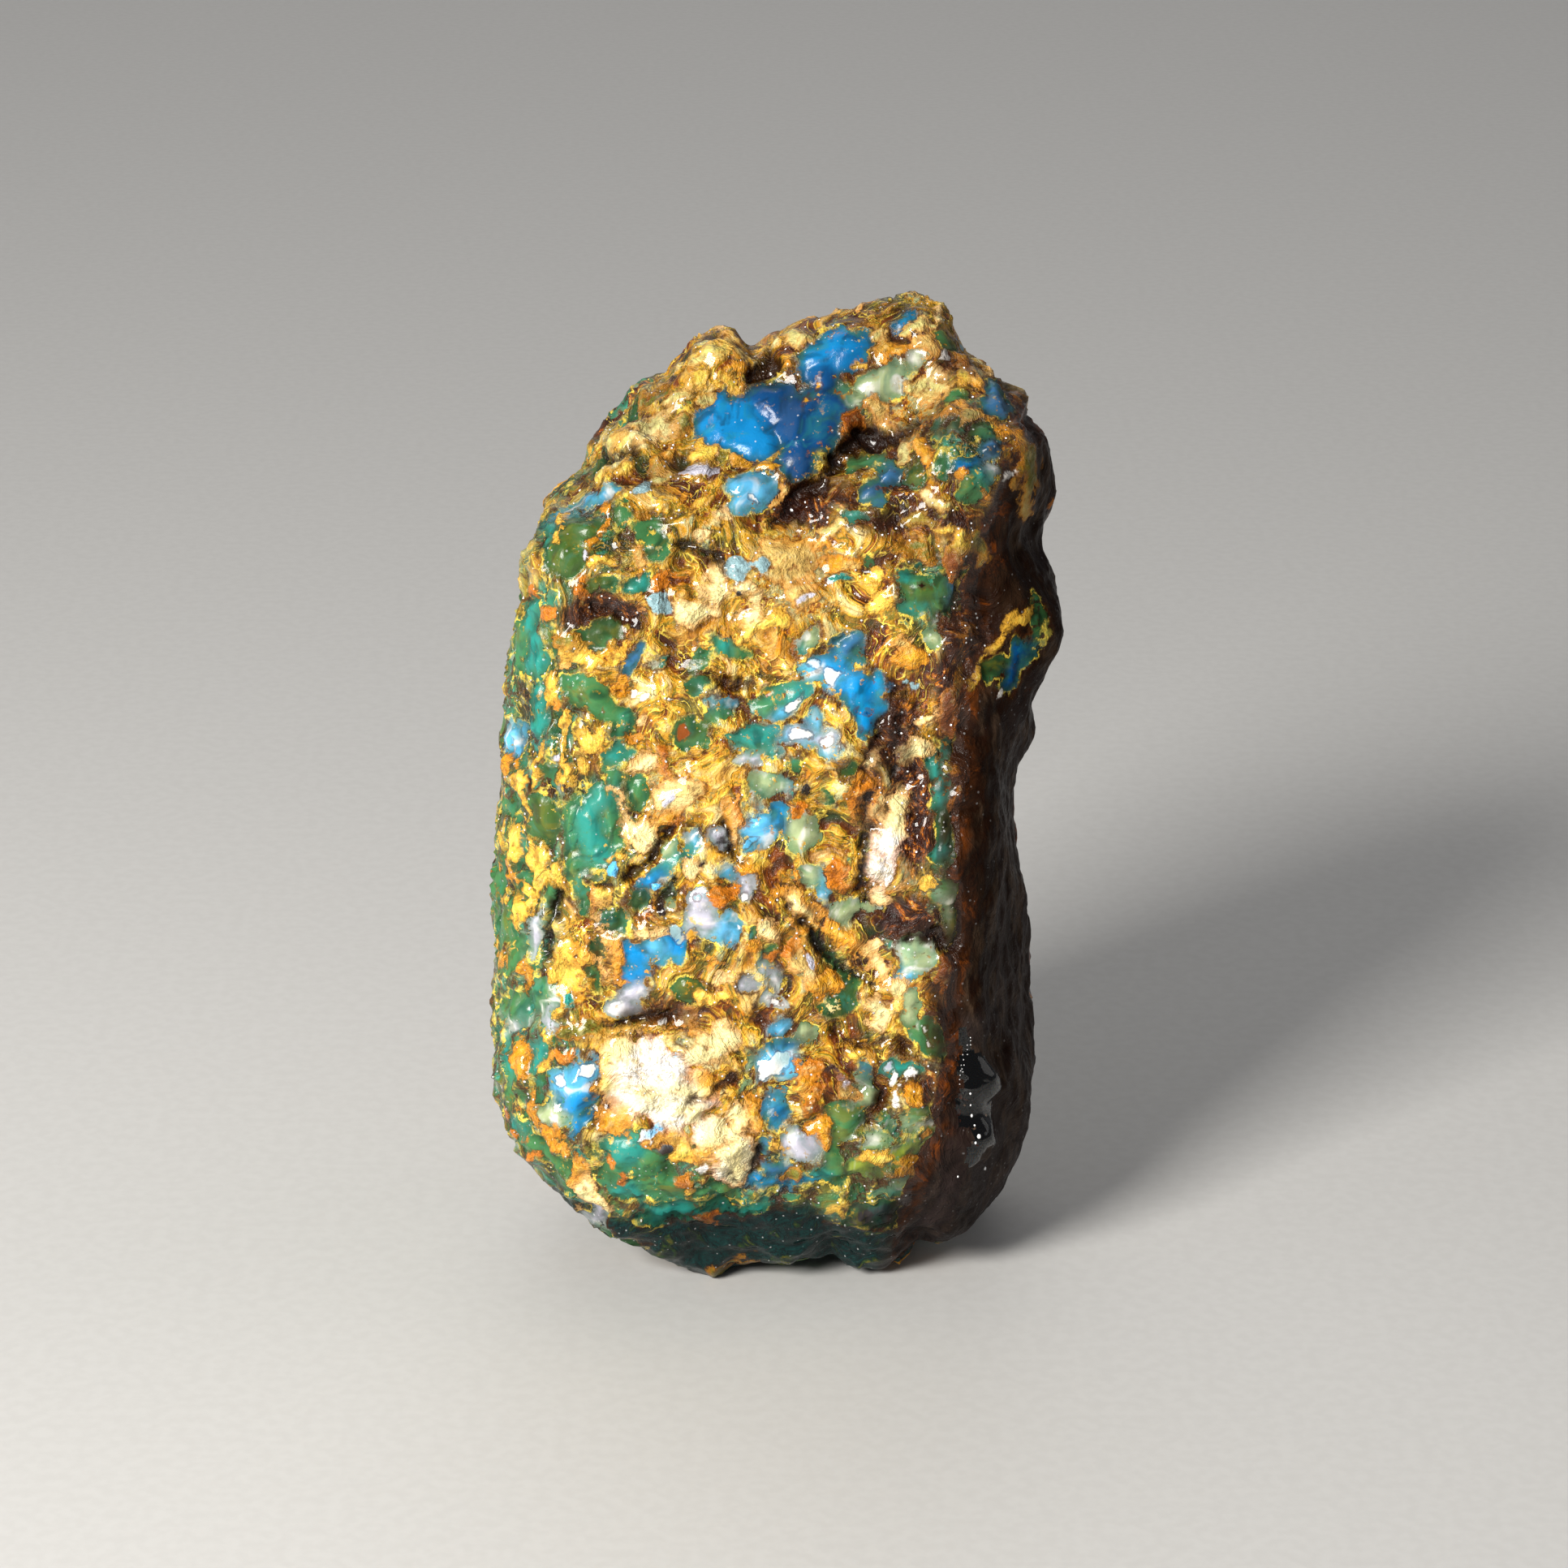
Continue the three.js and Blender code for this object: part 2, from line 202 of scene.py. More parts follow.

# %% [markdown]
# ## The marks of the front
# The big features of the front are placed one by one, as a painter would: glassy windows, flakes of crust,
# beads, thin ridges and dark crevices. A mark is an oval: how far right, how high, its half width and half
# height, and how many degrees it is turned to the left. Ovals that overlap grow together, and a wavy warp
# takes away their neatness, so a handful of ovals makes one ragged window.

# %% List the glassy windows
WINDOWS = {
    "deep": [
        (0, 43.4, 1.3, 1.2), (1.3, 42.4, 1.3, 1.9), (2.5, 43.5, 1.2, 1.1), (3.5, 46, 1.3, 0.9, 20),
        (2.6, 44.9, 1.1, 0.8), (3.1, 43.4, 0.9, 0.9), (2.6, 41.9, 0.7, 0.9), (12.5, 31.5, 0.5, 0.6),
        (12, 30.4, 0.35, 1.2, -20), (0.6, 11.7, 0.8, 0.4), (1.2, 40.9, 1.0, 1.3),
    ],
    "azure": [
        (-2.2, 42.7, 1.7, 1.3, 25), (-0.9, 42, 1.2, 1.1), (9.8, 40.5, 0.8, 0.4, -20),
        (-5.9, 20.1, 0.7, 0.45, 20), (-6.8, 16.3, 0.8, 0.7), (-6.7, 15.3, 0.55, 0.5),
        (0.2, 23.1, 0.65, 0.7), (-9.6, 9, 0.9, 0.9), (-9.7, 7.9, 0.3, 0.6), (0.3, 8.5, 0.65, 0.45),
        (2.2, 45.6, 0.9, 0.8), (3.3, 46.1, 1.6, 1.1, 20), (4.3, 29.3, 0.9, 1.0), (4.7, 28.2, 0.6, 0.9),
        (5.3, 29.8, 0.45, 0.6), (3.3, 30.3, 0.8, 0.7), (-0.3, 5.1, 0.8, 0.25), (1.4, 4.9, 0.9, 0.25),
        (6.6, 47.7, 0.5, 0.35), (-4.9, 16.9, 0.8, 0.7), (4.3, 46.8, 0.7, 0.5, 30),
    ],
    "sky": [
        (-1, 39.4, 1.2, 0.8), (-1.2, 38.7, 0.9, 0.6), (2.3, 30.3, 1.1, 0.5, 10), (3.3, 29.8, 0.8, 0.7),
        (0.9, 28.6, 0.9, 0.35, 25), (-10.2, 38.2, 0.7, 0.3, 35), (-9, 38.8, 0.6, 0.35, 20),
        (-8, 39.1, 0.6, 0.3, 25), (-5.8, 16.7, 0.8, 0.7), (-0.7, 22.4, 0.9, 1.0), (-9.9, 9.9, 1.1, 0.9),
        (-9.2, 10.6, 1.0, 0.7), (-8.5, 10.7, 0.35, 0.4), (-2.4, 17.8, 0.55, 0.6), (-1.9, 17.3, 0.4, 0.5),
        (0.5, 12.6, 0.45, 0.35, 20), (0.1, 8.9, 0.5, 0.5), (-9.3, 9.4, 0.7, 0.6), (6.7, 15.4, 0.55, 0.5),
        (0.4, 10.9, 1.1, 0.8), (2.6, 19.6, 0.5, 0.35, 30), (-3.8, 21.8, 0.35, 0.6),
        (-12.9, 27.1, 0.35, 0.8), (-2.3, 20.3, 0.4, 0.45), (0.9, 27.2, 0.6, 0.35, 25), (1.8, 27, 0.4, 0.45),
        (2.2, 27.8, 0.35, 0.5), (2.7, 26.5, 0.6, 0.3, 20), (0.4, 28.2, 0.7, 0.3, 20),
        (-2.3, 28.8, 0.7, 0.2, -10), (0.8, 24.7, 0.35, 0.5),
    ],
    "slate": [
        (5.6, 40, 0.5, 0.7), (5.2, 39.2, 0.8, 0.6), (11.3, 44.3, 0.5, 0.6, 20), (11.2, 43.6, 0.8, 0.5, -10),
        (10.9, 41.4, 0.6, 0.6), (3.8, 31.4, 0.8, 0.7), (0.7, 9.4, 0.45, 0.16, 15), (4.7, 10.6, 0.3, 0.5),
        (0.2, 5.7, 0.6, 0.4), (-0.4, 6.9, 0.3, 0.5), (9, 34.3, 0.4, 0.8), (-6.8, 30.6, 0.25, 0.8, -20),
    ],
    "teal": [
        (-10.9, 37.1, 0.4, 0.8, -20), (-6.6, 34.8, 0.7, 0.35), (-11.8, 33, 0.4, 1, -10),
        (-11.8, 31.2, 0.5, 1.2), (-11.7, 28.9, 0.4, 1.1), (-11.6, 27.6, 0.6, 0.6),
        (-7.6, 26.2, 0.5, 0.35, -20), (1.6, 31.4, 0.25, 0.45, -25), (1, 29, 1.2, 0.5, 10),
        (-0.8, 27.1, 0.9, 0.8), (0.1, 26.6, 0.7, 0.22, -25), (6.6, 35.1, 0.6, 0.4),
        (7, 33.3, 0.9, 0.3, -15), (10.4, 39.8, 0.5, 0.5), (-8.5, 23.8, 0.9, 1.0), (-9, 22.5, 0.8, 1.3),
        (-8.8, 21.3, 0.6, 0.8), (-9.4, 19.6, 0.32, 0.8, -10), (-5, 20.8, 0.9, 0.3, 20),
        (-4, 21.2, 0.32, 0.8, -20), (8.5, 21.4, 0.55, 0.8), (8.4, 24.4, 0.45, 0.9), (8.2, 25.4, 0.5, 0.8),
        (8.8, 26.7, 0.35, 0.5, 20), (-7.2, 6.6, 1.2, 1.1), (-11.6, 11.3, 0.4, 1), (-12.9, 11.3, 0.2, 0.9),
        (-12.7, 7.9, 0.4, 0.6), (6.4, 10.9, 0.8, 0.5), (2.4, 5.4, 0.9, 0.4), (-6.9, 4.7, 1, 0.4),
        (-4.6, 3.6, 1.8, 0.5, -6), (-1.2, 3.7, 1.4, 0.35), (-2.3, 31.5, 0.6, 0.4), (4.2, 37.8, 0.7, 0.25),
        (-0.4, 24.5, 0.6, 0.14, 40), (5.7, 16.9, 0.25, 0.25),
    ],
    "leaf": [
        (4.6, 40.6, 0.6, 0.35, 20), (3.8, 44, 0.3, 0.5), (-7.4, 37.8, 0.4, 0.4), (-5.9, 37.3, 0.7, 0.3, 30),
        (-5.6, 36.4, 0.7, 0.7), (-12.6, 31.5, 0.3, 1.5), (-9.3, 29.3, 1.2, 0.9),
        (-8.3, 28.6, 1.2, 0.7, -30), (-7.5, 27.8, 0.6, 0.9), (8.3, 40.7, 0.4, 0.5), (10.4, 42.1, 0.6, 0.3),
        (9.8, 39.2, 0.6, 0.4), (7, 39.9, 0.5, 0.5), (-7.7, 25.1, 0.35, 0.6), (-6.7, 24.2, 0.6, 0.7),
        (-9.7, 22.6, 0.35, 1.7), (-7.9, 22.8, 0.4, 1.1), (-9.4, 20.7, 0.45, 0.9), (-13.2, 23.6, 0.5, 0.6),
        (-13.6, 20.5, 0.35, 2), (-12.9, 18.2, 0.5, 1.2), (-12.2, 19.9, 0.5, 0.5),
        (-12.6, 16.3, 0.32, 1.1, -25), (7.4, 34.6, 0.8, 0.6), (8.4, 19.5, 0.5, 0.7), (7.8, 12.3, 0.7, 0.7),
        (-5.9, 6, 0.9, 1), (-5.2, 5, 1, 0.7), (3.7, 8.2, 0.9, 0.9), (3.2, 6.4, 0.6, 0.6),
        (7.3, 8.9, 0.6, 0.5), (-2.8, 4.6, 1.2, 0.5), (-7.8, 5.8, 0.8, 0.8), (8.5, 46.5, 0.6, 0.3),
        (9.1, 43.8, 0.8, 0.3), (-11.4, 14.2, 0.9, 0.7), (-12.8, 13.6, 0.7, 0.9), (-13.5, 17, 0.3, 1.6),
        (-10.9, 18.9, 0.3, 1.3), (0.3, 28.8, 1.2, 0.6, 10), (-12.8, 9.3, 0.4, 0.9),
        (-12, 6.9, 0.9, 0.4, -42), (-10.8, 6.1, 0.9, 0.4, -38), (3.5, 5.4, 0.6, 0.4), (12, 15.9, 0.4, 0.5),
        (-9.1, 18.9, 0.28, 0.5), (-1.5, 31.3, 0.4, 0.35), (-0.5, 24.5, 0.55, 0.15, 35),
        (-8.2, 2.5, 0.8, 0.4, -20), (-6.9, 1.9, 0.8, 0.35, -15),
    ],
    "moss": [
        (6.9, 40.2, 0.5, 0.6), (3.8, 25.6, 0.35, 0.7, -30), (-3.5, 30.8, 0.4, 0.5), (-3.6, 29.6, 0.6, 0.5),
        (-8.6, 16.4, 0.33, 0.7), (-8.9, 15.2, 0.28, 0.9), (-4.2, 14.6, 0.8, 0.6, -20),
        (3.2, 13.8, 0.7, 0.6), (3.9, 14.6, 0.45, 0.8), (-7.7, 18, 0.5, 0.7), (-6.7, 18.9, 0.45, 0.7, -30),
        (3.1, 16.2, 0.24, 1.4, 35), (2.8, 23.9, 0.3, 0.35), (-0.8, 17.3, 0.5, 0.2, 10),
        (-0.1, 16.5, 0.3, 0.6), (-8.3, 34.6, 0.8, 0.3, 10), (-8.5, 32, 0.9, 0.5, 20),
        (11.2, 30.5, 0.6, 0.4, 40), (12.9, 33.3, 0.28, 0.8), (4.7, 35.6, 0.3, 0.25),
        (-9, 41.2, 0.25, 1.2, -35), (-7.5, 43.1, 0.25, 1.2, -40), (9.2, 20.6, 0.35, 2.0),
        (8.9, 18, 0.45, 1.2), (8.6, 22.6, 0.4, 1.2), (8.3, 12, 0.6, 0.8),
    ],
    "sage": [
        (5.2, 7.2, 0.6, 0.45), (6.9, 8.2, 0.5, 0.5), (4.5, 9.6, 0.7, 0.7), (2, 12.3, 0.5, 0.5),
        (-10.8, 8.4, 0.85, 0.7), (7.2, 16.4, 0.9, 1.0), (5.6, 44.5, 1.5, 0.9, 20), (4.2, 43.4, 0.4, 0.6),
        (6.9, 45.6, 0.5, 0.4), (3.6, 18.5, 0.7, 0.6), (5, 18.6, 0.5, 0.4), (1.6, 22.4, 0.7, 1),
        (0.1, 24.7, 1.2, 0.5), (8.6, 18.8, 0.28, 0.9, -5), (-5.1, 19.2, 0.18, 0.5, 10), (7, 13.6, 0.5, 0.9),
        (1.9, 20.1, 0.8, 0.4), (-5, 21.4, 0.8, 0.3, 30), (2.1, 31.8, 0.5, 0.5), (7.9, 32.1, 0.5, 0.45),
        (-1.1, 10.6, 0.28, 0.9),
    ],
    "lilac": [
        (-3.6, 18.8, 0.8, 0.8), (-3.4, 18, 0.9, 0.6), (-1.3, 19.5, 0.45, 0.7), (-7.2, 13.8, 0.95, 0.55),
        (-6.7, 14.4, 0.7, 0.4), (1.5, 7, 0.8, 1), (0, 15.4, 0.35, 0.8, 20), (-1, 14.7, 0.55, 0.35),
        (0.2, 13.9, 0.8, 0.35), (-11.6, 17.3, 0.26, 1.1), (-11.2, 13.4, 0.35, 0.7, -25),
        (-10.8, 12.9, 0.45, 0.5), (-12.7, 12.9, 0.22, 0.6), (-8.8, 3.4, 0.38, 0.6, -20),
        (-2.6, 21.9, 0.5, 0.35, -30), (1.6, 27.1, 1.1, 0.45, -15), (2.7, 27, 0.6, 0.5),
        (11.2, 40.3, 0.35, 0.4), (-1.2, 25.9, 0.8, 0.22),
    ],
    "fern": [
        (-9.5, 37.3, 0.9, 0.7), (-10.2, 36.2, 1.1, 1.3), (-11.2, 23, 0.9, 1.0), (-2.6, 28.1, 0.5, 0.4),
        (-3.9, 27.2, 0.9, 0.9), (8, 34.2, 1.4, 0.9), (8.4, 33.3, 0.9, 0.4),
    ],
    "ash": [(4.9, 3.4, 1.5, 0.4)],
    "lime": [
        (4.6, 5.8, 0.9, 0.45, 15), (5.9, 6.4, 0.9, 0.4, 25), (7.1, 7.1, 0.8, 0.4, 40),
        (7.8, 7.9, 0.45, 0.5),
    ],
}
window_count = sum(len(ovals) for ovals in WINDOWS.values())
print(window_count, "ovals of glassy window")

# %% List the flakes of crust
PLATES = {
    # The milk flakes are cream crust painted near white: mostly painted highlight.
    "milk_highlight": [
        (-6.2, 10.9, 1.8, 1.1), (-4.9, 10.7, 1.3, 1.0), (-5.4, 9.5, 1.5, 0.8), (-7.2, 9.2, 0.9, 0.6),
        (-5.1, 8.1, 0.9, 0.6), (-4.3, 10.8, 0.5, 0.5), (-6.3, 9.3, 0.6, 0.35), (-5.6, 8.1, 0.5, 0.4),
        (-4.6, 7.9, 0.45, 0.5), (-3.2, 7.6, 0.6, 0.5), (-1.4, 6.4, 0.5, 0.9), (-7.5, 10, 0.35, 0.4),
        (-3.4, 8.9, 0.7, 0.5), (-2.2, 5.6, 0.5, 0.6), (-4.6, 9.4, 0.9, 0.5), (-5.8, 8.6, 0.7, 0.5),
        (5.6, 21.7, 0.75, 0.8), (5.3, 20.4, 0.8, 0.9), (-4.2, 9.8, 0.3, 0.3),
    ],
    "cream": [
        (-3.2, 11.8, 1.2, 0.9), (-5.4, 9.6, 2.2, 1.0), (-1.7, 6.2, 0.9, 1.4, -5), (-4.4, 8.5, 1.4, 0.7),
        (-2.7, 7.5, 0.8, 0.7), (-7.4, 11.6, 0.9, 0.7), (-1.8, 8.4, 0.5, 1.0, -10), (-1.5, 6.4, 0.6, 0.9),
        (-2.2, 12.2, 0.8, 0.7), (5.9, 22.7, 0.7, 0.9, -20), (6.3, 23.7, 0.5, 0.8, -30),
        (5.3, 19.3, 0.6, 0.5), (5.3, 13.6, 0.5, 0.9), (5.2, 12.9, 0.6, 0.4), (1.6, 18.5, 1.0, 0.4, -35),
        (4.8, 16.6, 0.3, 0.6, -15), (5.2, 15.9, 0.4, 0.2, -40), (-6.4, 22.2, 0.8, 0.7),
        (-4.8, 24.2, 1.1, 0.7), (-9.1, 4.6, 0.35, 0.9, 25), (-8.5, 4.1, 0.25, 0.7, 30),
        (-2.5, 15.1, 0.7, 0.25, -15), (-3.9, 20.5, 0.4, 0.45), (-0.1, 17.6, 0.5, 0.4),
        (1.6, 15.5, 0.5, 0.45), (7.1, 26.3, 0.9, 0.45, 15), (6.4, 25.8, 0.4, 0.4), (7.6, 28, 0.8, 0.25, 40),
        (-2.7, 34.6, 0.5, 1.0, -20), (-3.3, 33.2, 0.8, 0.4), (-4.2, 33.3, 0.5, 0.5),
        (-1.4, 34.6, 0.45, 0.3), (-0.9, 34.2, 0.4, 0.6), (-1.1, 33, 0.45, 0.6), (-8.2, 17.7, 0.12, 0.8),
        (-2.4, 38, 0.5, 0.35), (-3.3, 36.9, 0.5, 0.35), (-6, 42.2, 0.5, 0.45), (-5.3, 42.3, 0.5, 0.5),
        (-6.6, 41.7, 0.9, 0.3, 20), (8.2, 44.9, 0.3, 0.4), (7.6, 38.7, 0.4, 0.6),
        (6.4, 41.3, 0.4, 0.45, 30), (8.3, 48.1, 0.5, 0.3), (-6.3, 27.8, 0.3, 0.35),
        (-6.4, 25.6, 0.7, 0.4, 25), (-8.3, 15.8, 0.18, 0.7, 15), (6.3, 14.6, 0.4, 0.5),
        (-7.1, 22.6, 0.3, 0.55), (-5.5, 17.3, 0.4, 0.2), (-6.4, 17.6, 0.35, 0.22),
        (5.1, 26.1, 0.24, 0.6, -20), (10.5, 45.4, 0.7, 0.3),
    ],
    "straw": [
        (-7.9, 10.9, 0.35, 0.8), (-7.9, 9.6, 0.5, 0.6), (-4.4, 6.6, 0.7, 0.6), (-12.6, 22, 0.42, 0.9),
        (-11.6, 21, 0.42, 0.8, -15), (-11.3, 20.2, 0.35, 0.6), (-10.5, 20.3, 0.4, 0.8, 10),
        (-12.4, 18.9, 0.32, 0.9, -5), (-13.3, 19.1, 0.12, 0.4), (-13.4, 16.6, 0.15, 0.6),
        (-10.2, 16.3, 0.3, 0.8), (-9.3, 16.3, 0.22, 0.5), (-10, 15, 0.8, 0.8), (-10.3, 14.2, 0.4, 0.5),
        (-12.4, 24.6, 0.3, 0.7, 5), (-11.6, 25.4, 0.12, 0.9), (-10.2, 25, 0.22, 0.7, -10),
        (-2.7, 46.1, 0.7, 0.4), (-3.7, 44.7, 0.45, 0.45), (-7.3, 41.7, 0.6, 0.28, 15),
        (-7.6, 40.3, 0.5, 0.2, 30), (-3.2, 41.1, 0.7, 0.4), (-10.3, 37.4, 0.16, 0.6, -15),
        (-5.4, 38.2, 0.25, 0.5), (-3.6, 38.6, 0.18, 0.6, -30), (9.4, 44.7, 0.45, 0.35),
        (-8.4, 35.7, 0.5, 0.28, 15), (-9.6, 31.1, 0.75, 0.4, 10), (-8.9, 30.8, 0.5, 0.3),
        (-7.6, 31, 0.3, 0.8, -10), (-11, 29.1, 0.35, 0.9), (-10.1, 27.2, 0.25, 1.0, -5),
        (-10.2, 25.9, 0.2, 0.5), (-8.9, 27, 0.4, 0.6, 30), (-8.6, 26.8, 0.18, 0.8),
        (-9.1, 25.8, 0.35, 0.45), (-0.4, 32.6, 1.4, 0.32, 25), (5, 34.9, 0.6, 0.35, 45),
        (5.3, 33.6, 0.7, 0.5), (7.5, 37.5, 1.3, 0.24, -5), (8.8, 37.1, 0.9, 0.26, -25),
        (9.4, 36.3, 0.5, 0.3, -40), (3.2, 17.4, 0.25, 0.14), (4.3, 11.3, 0.4, 0.2, 30),
        (0.4, 7, 0.5, 0.11, -40), (-4, 4.7, 0.3, 0.35), (7.9, 20, 0.4, 0.25), (-12.1, 23.6, 0.13, 0.5),
        (-6.4, 20.7, 0.6, 0.22, 40), (-11.1, 10.9, 0.25, 0.35), (-0.3, 21.1, 0.4, 0.3),
        (6.4, 13.9, 0.3, 0.3, 30), (1.4, 9.6, 0.4, 0.11, -20), (-8.1, 19.2, 0.35, 0.35),
        (8.4, 25.8, 0.1, 0.4), (5.6, 6.3, 0.7, 0.3), (-3, 14.3, 0.9, 0.3), (4.3, 45.6, 0.4, 0.18),
        (-1.9, 44.4, 0.7, 0.35, -20), (-9, 39.9, 0.7, 0.25, 35),
    ],
    "khaki": [
        (-3.4, 45.9, 1.2, 0.4, 10), (-4.8, 43.6, 0.9, 0.35, 30), (-7.9, 41.9, 0.8, 0.3, 25),
        (5.4, 46.9, 0.6, 0.25, 20), (7.3, 47.3, 0.9, 0.3), (9.9, 42.9, 0.6, 0.3, -20),
        (-5.9, 42.4, 1.0, 0.5), (-3.2, 43.7, 0.6, 0.4), (-8.6, 40.4, 0.6, 0.25, 30), (1.2, 46.8, 0.8, 0.3),
        (7.6, 44.3, 0.9, 0.4), (6.4, 41.2, 0.6, 0.5, 30), (8.4, 38.6, 0.7, 0.3), (3, 37.4, 1.0, 0.3),
        (-5.6, 39.9, 0.9, 0.25, 20),
    ],
    "gold": [
        (1.9, 17.6, 1.0, 0.5, -20), (-7.8, 8.3, 0.9, 0.6), (-3.2, 9.9, 0.9, 0.8), (-5.2, 7.3, 1.2, 0.5),
        (-3, 6.6, 0.7, 0.6), (-0.9, 8.8, 0.28, 0.9), (2.6, 14.9, 0.9, 0.6), (-3, 15.9, 0.5, 0.25),
        (-12.1, 15.2, 0.25, 0.7), (-13.2, 16, 0.28, 0.5), (-13.2, 25.6, 0.3, 0.4),
        (-12.9, 20.6, 0.2, 0.5, 10), (-9.6, 14.3, 0.28, 0.5), (-7.6, 16, 0.22, 1, 20),
        (-5.2, 23, 0.9, 0.4, 30), (-2.3, 23, 0.3, 0.7), (-1.4, 45.1, 0.4, 0.22), (6, 46.2, 0.6, 0.45),
        (-8.2, 38.1, 0.2, 0.3), (-8.6, 37, 0.17, 0.7, -20), (-4.6, 39.1, 0.55, 0.22, -40),
        (-5.3, 40.9, 1, 0.2, 30), (9.4, 46, 0.55, 0.4), (10.3, 44.7, 0.45, 0.25), (7.5, 41.3, 0.35, 0.7),
        (9.4, 40.1, 0.3, 0.3), (2, 36.6, 1.5, 0.3), (3.5, 35.7, 0.9, 0.35), (-7.3, 29.6, 0.45, 0.35),
        (-8, 31.2, 0.5, 0.25, 20), (-6.9, 26.8, 0.45, 0.3, -20), (-9.7, 5.6, 0.35, 0.5),
        (-12.3, 11.2, 0.24, 0.9), (-8.7, 9.7, 0.12, 0.4), (1.7, 10.4, 0.5, 0.3), (2.3, 8, 0.6, 0.6),
        (2.6, 7.1, 0.28, 0.6), (7, 9.6, 0.5, 0.3), (7.6, 7.6, 0.28, 0.28), (12.5, 16.9, 0.28, 0.35),
        (9.4, 5.7, 0.3, 0.1), (6.8, 30.9, 0.9, 0.5), (-1.2, 20.6, 0.6, 0.35), (-0.9, 16.7, 0.5, 0.35),
        (0.7, 20.1, 0.6, 0.2), (-12.9, 25.9, 0.3, 0.3), (9.2, 25.2, 0.1, 0.8), (6.9, 6.1, 1.0, 0.3, 30),
    ],
    "orange": [
        (0.9, 16.6, 0.6, 0.5, 20), (1.9, 10.8, 0.7, 0.4), (-8.6, 19, 0.16, 0.5, -20),
        (-9.8, 16.3, 0.16, 0.7), (-2.3, 19.2, 0.55, 0.4), (3.5, 20.2, 0.4, 0.7), (4.4, 24, 0.4, 0.95, -15),
        (-10.3, 11.4, 0.6, 0.25), (-13.3, 8.5, 0.12, 0.4), (-12.6, 7.2, 0.22, 0.18),
        (-11.7, 6.3, 0.2, 0.16), (-11.8, 34.2, 0.25, 0.2), (-10.9, 33.2, 0.35, 0.35),
        (-9.6, 34.4, 0.25, 0.5), (-10.6, 28.2, 0.2, 0.3), (-5.4, 34.8, 0.35, 0.35), (14.2, 38.4, 0.2, 0.2),
        (9.5, 18.2, 0.12, 0.2), (12.6, 12.4, 0.35, 1.6), (-8.2, 6.1, 0.28, 0.28), (1.6, 23.4, 0.45, 0.5),
        (5.2, 19.8, 0.22, 0.35), (-1.7, 23.3, 0.25, 0.8),
    ],
    "rust": [
        (2, 9.8, 0.8, 0.25), (1.9, 9.1, 0.5, 0.35), (0.2, 16.5, 0.28, 0.4), (-4.6, 22.7, 0.28, 0.28),
        (4, 42.6, 0.6, 0.5), (9.2, 45.3, 0.5, 0.35), (-9.4, 33.9, 0.45, 0.25), (-5.3, 25.9, 0.25, 0.8, 20),
        (-3.4, 9.1, 0.6, 0.4), (-4.3, 5.3, 0.5, 0.35), (8.6, 15.6, 0.45, 1.1), (3.2, 10, 0.32, 0.28),
        (9.3, 23, 0.3, 3), (8.9, 28.4, 0.5, 1.2), (9.1, 35.6, 0.5, 0.9), (12.3, 11, 0.3, 0.8),
        (-3.2, 3.2, 0.8, 0.22), (-7.3, 5.2, 0.28, 0.18), (-4.5, 13.5, 0.7, 0.4),
    ],
    "olive": [
        (-6.4, 37.9, 0.4, 0.28), (-6, 44, 1.1, 0.35, 35), (-5.8, 40.3, 0.8, 0.18, 25),
        (-4.4, 42.3, 0.35, 0.6, -20), (10.2, 36.3, 0.45, 0.7, 20), (-10, 31.9, 0.6, 0.28),
        (12.6, 14.7, 0.5, 0.9), (-1.8, 1.3, 0.8, 0.2), (12.7, 40.2, 0.5, 1.2), (9.3, 29.8, 0.35, 0.25),
        (-1.9, 32.3, 0.35, 0.25), (0.9, 5.2, 0.45, 0.4), (-9.3, 12.6, 1.2, 0.5), (-2.6, 0.9, 0.8, 0.5),
        (7.3, 36.2, 1.2, 0.24, -10),
    ],
    "tan": [
        (0.8, 35.8, 1.7, 1.1), (1.6, 34.2, 0.9, 0.6), (7.6, 43.9, 0.5, 0.3), (-4.6, 24.3, 1.2, 0.7),
        (7.4, 46.3, 0.6, 0.5), (5.2, 43.2, 0.6, 0.4, -30), (5.6, 42.5, 0.5, 0.3), (0.4, 38.9, 0.7, 0.3, 30),
        (-1.9, 46.9, 0.45, 0.35), (1.3, 16, 0.28, 0.8, -25), (-6.6, 35.9, 0.3, 0.8), (6.2, 31.6, 0.45, 0.4),
        (3.6, 9.6, 0.4, 0.4), (12.6, 38.8, 0.35, 0.9, 10), (-10.4, 30.5, 0.45, 0.25, 40),
        (-4.1, 13.3, 0.5, 0.25, 20),
    ],
}
plate_count = sum(len(ovals) for ovals in PLATES.values())
print(plate_count, "ovals of crust flake")

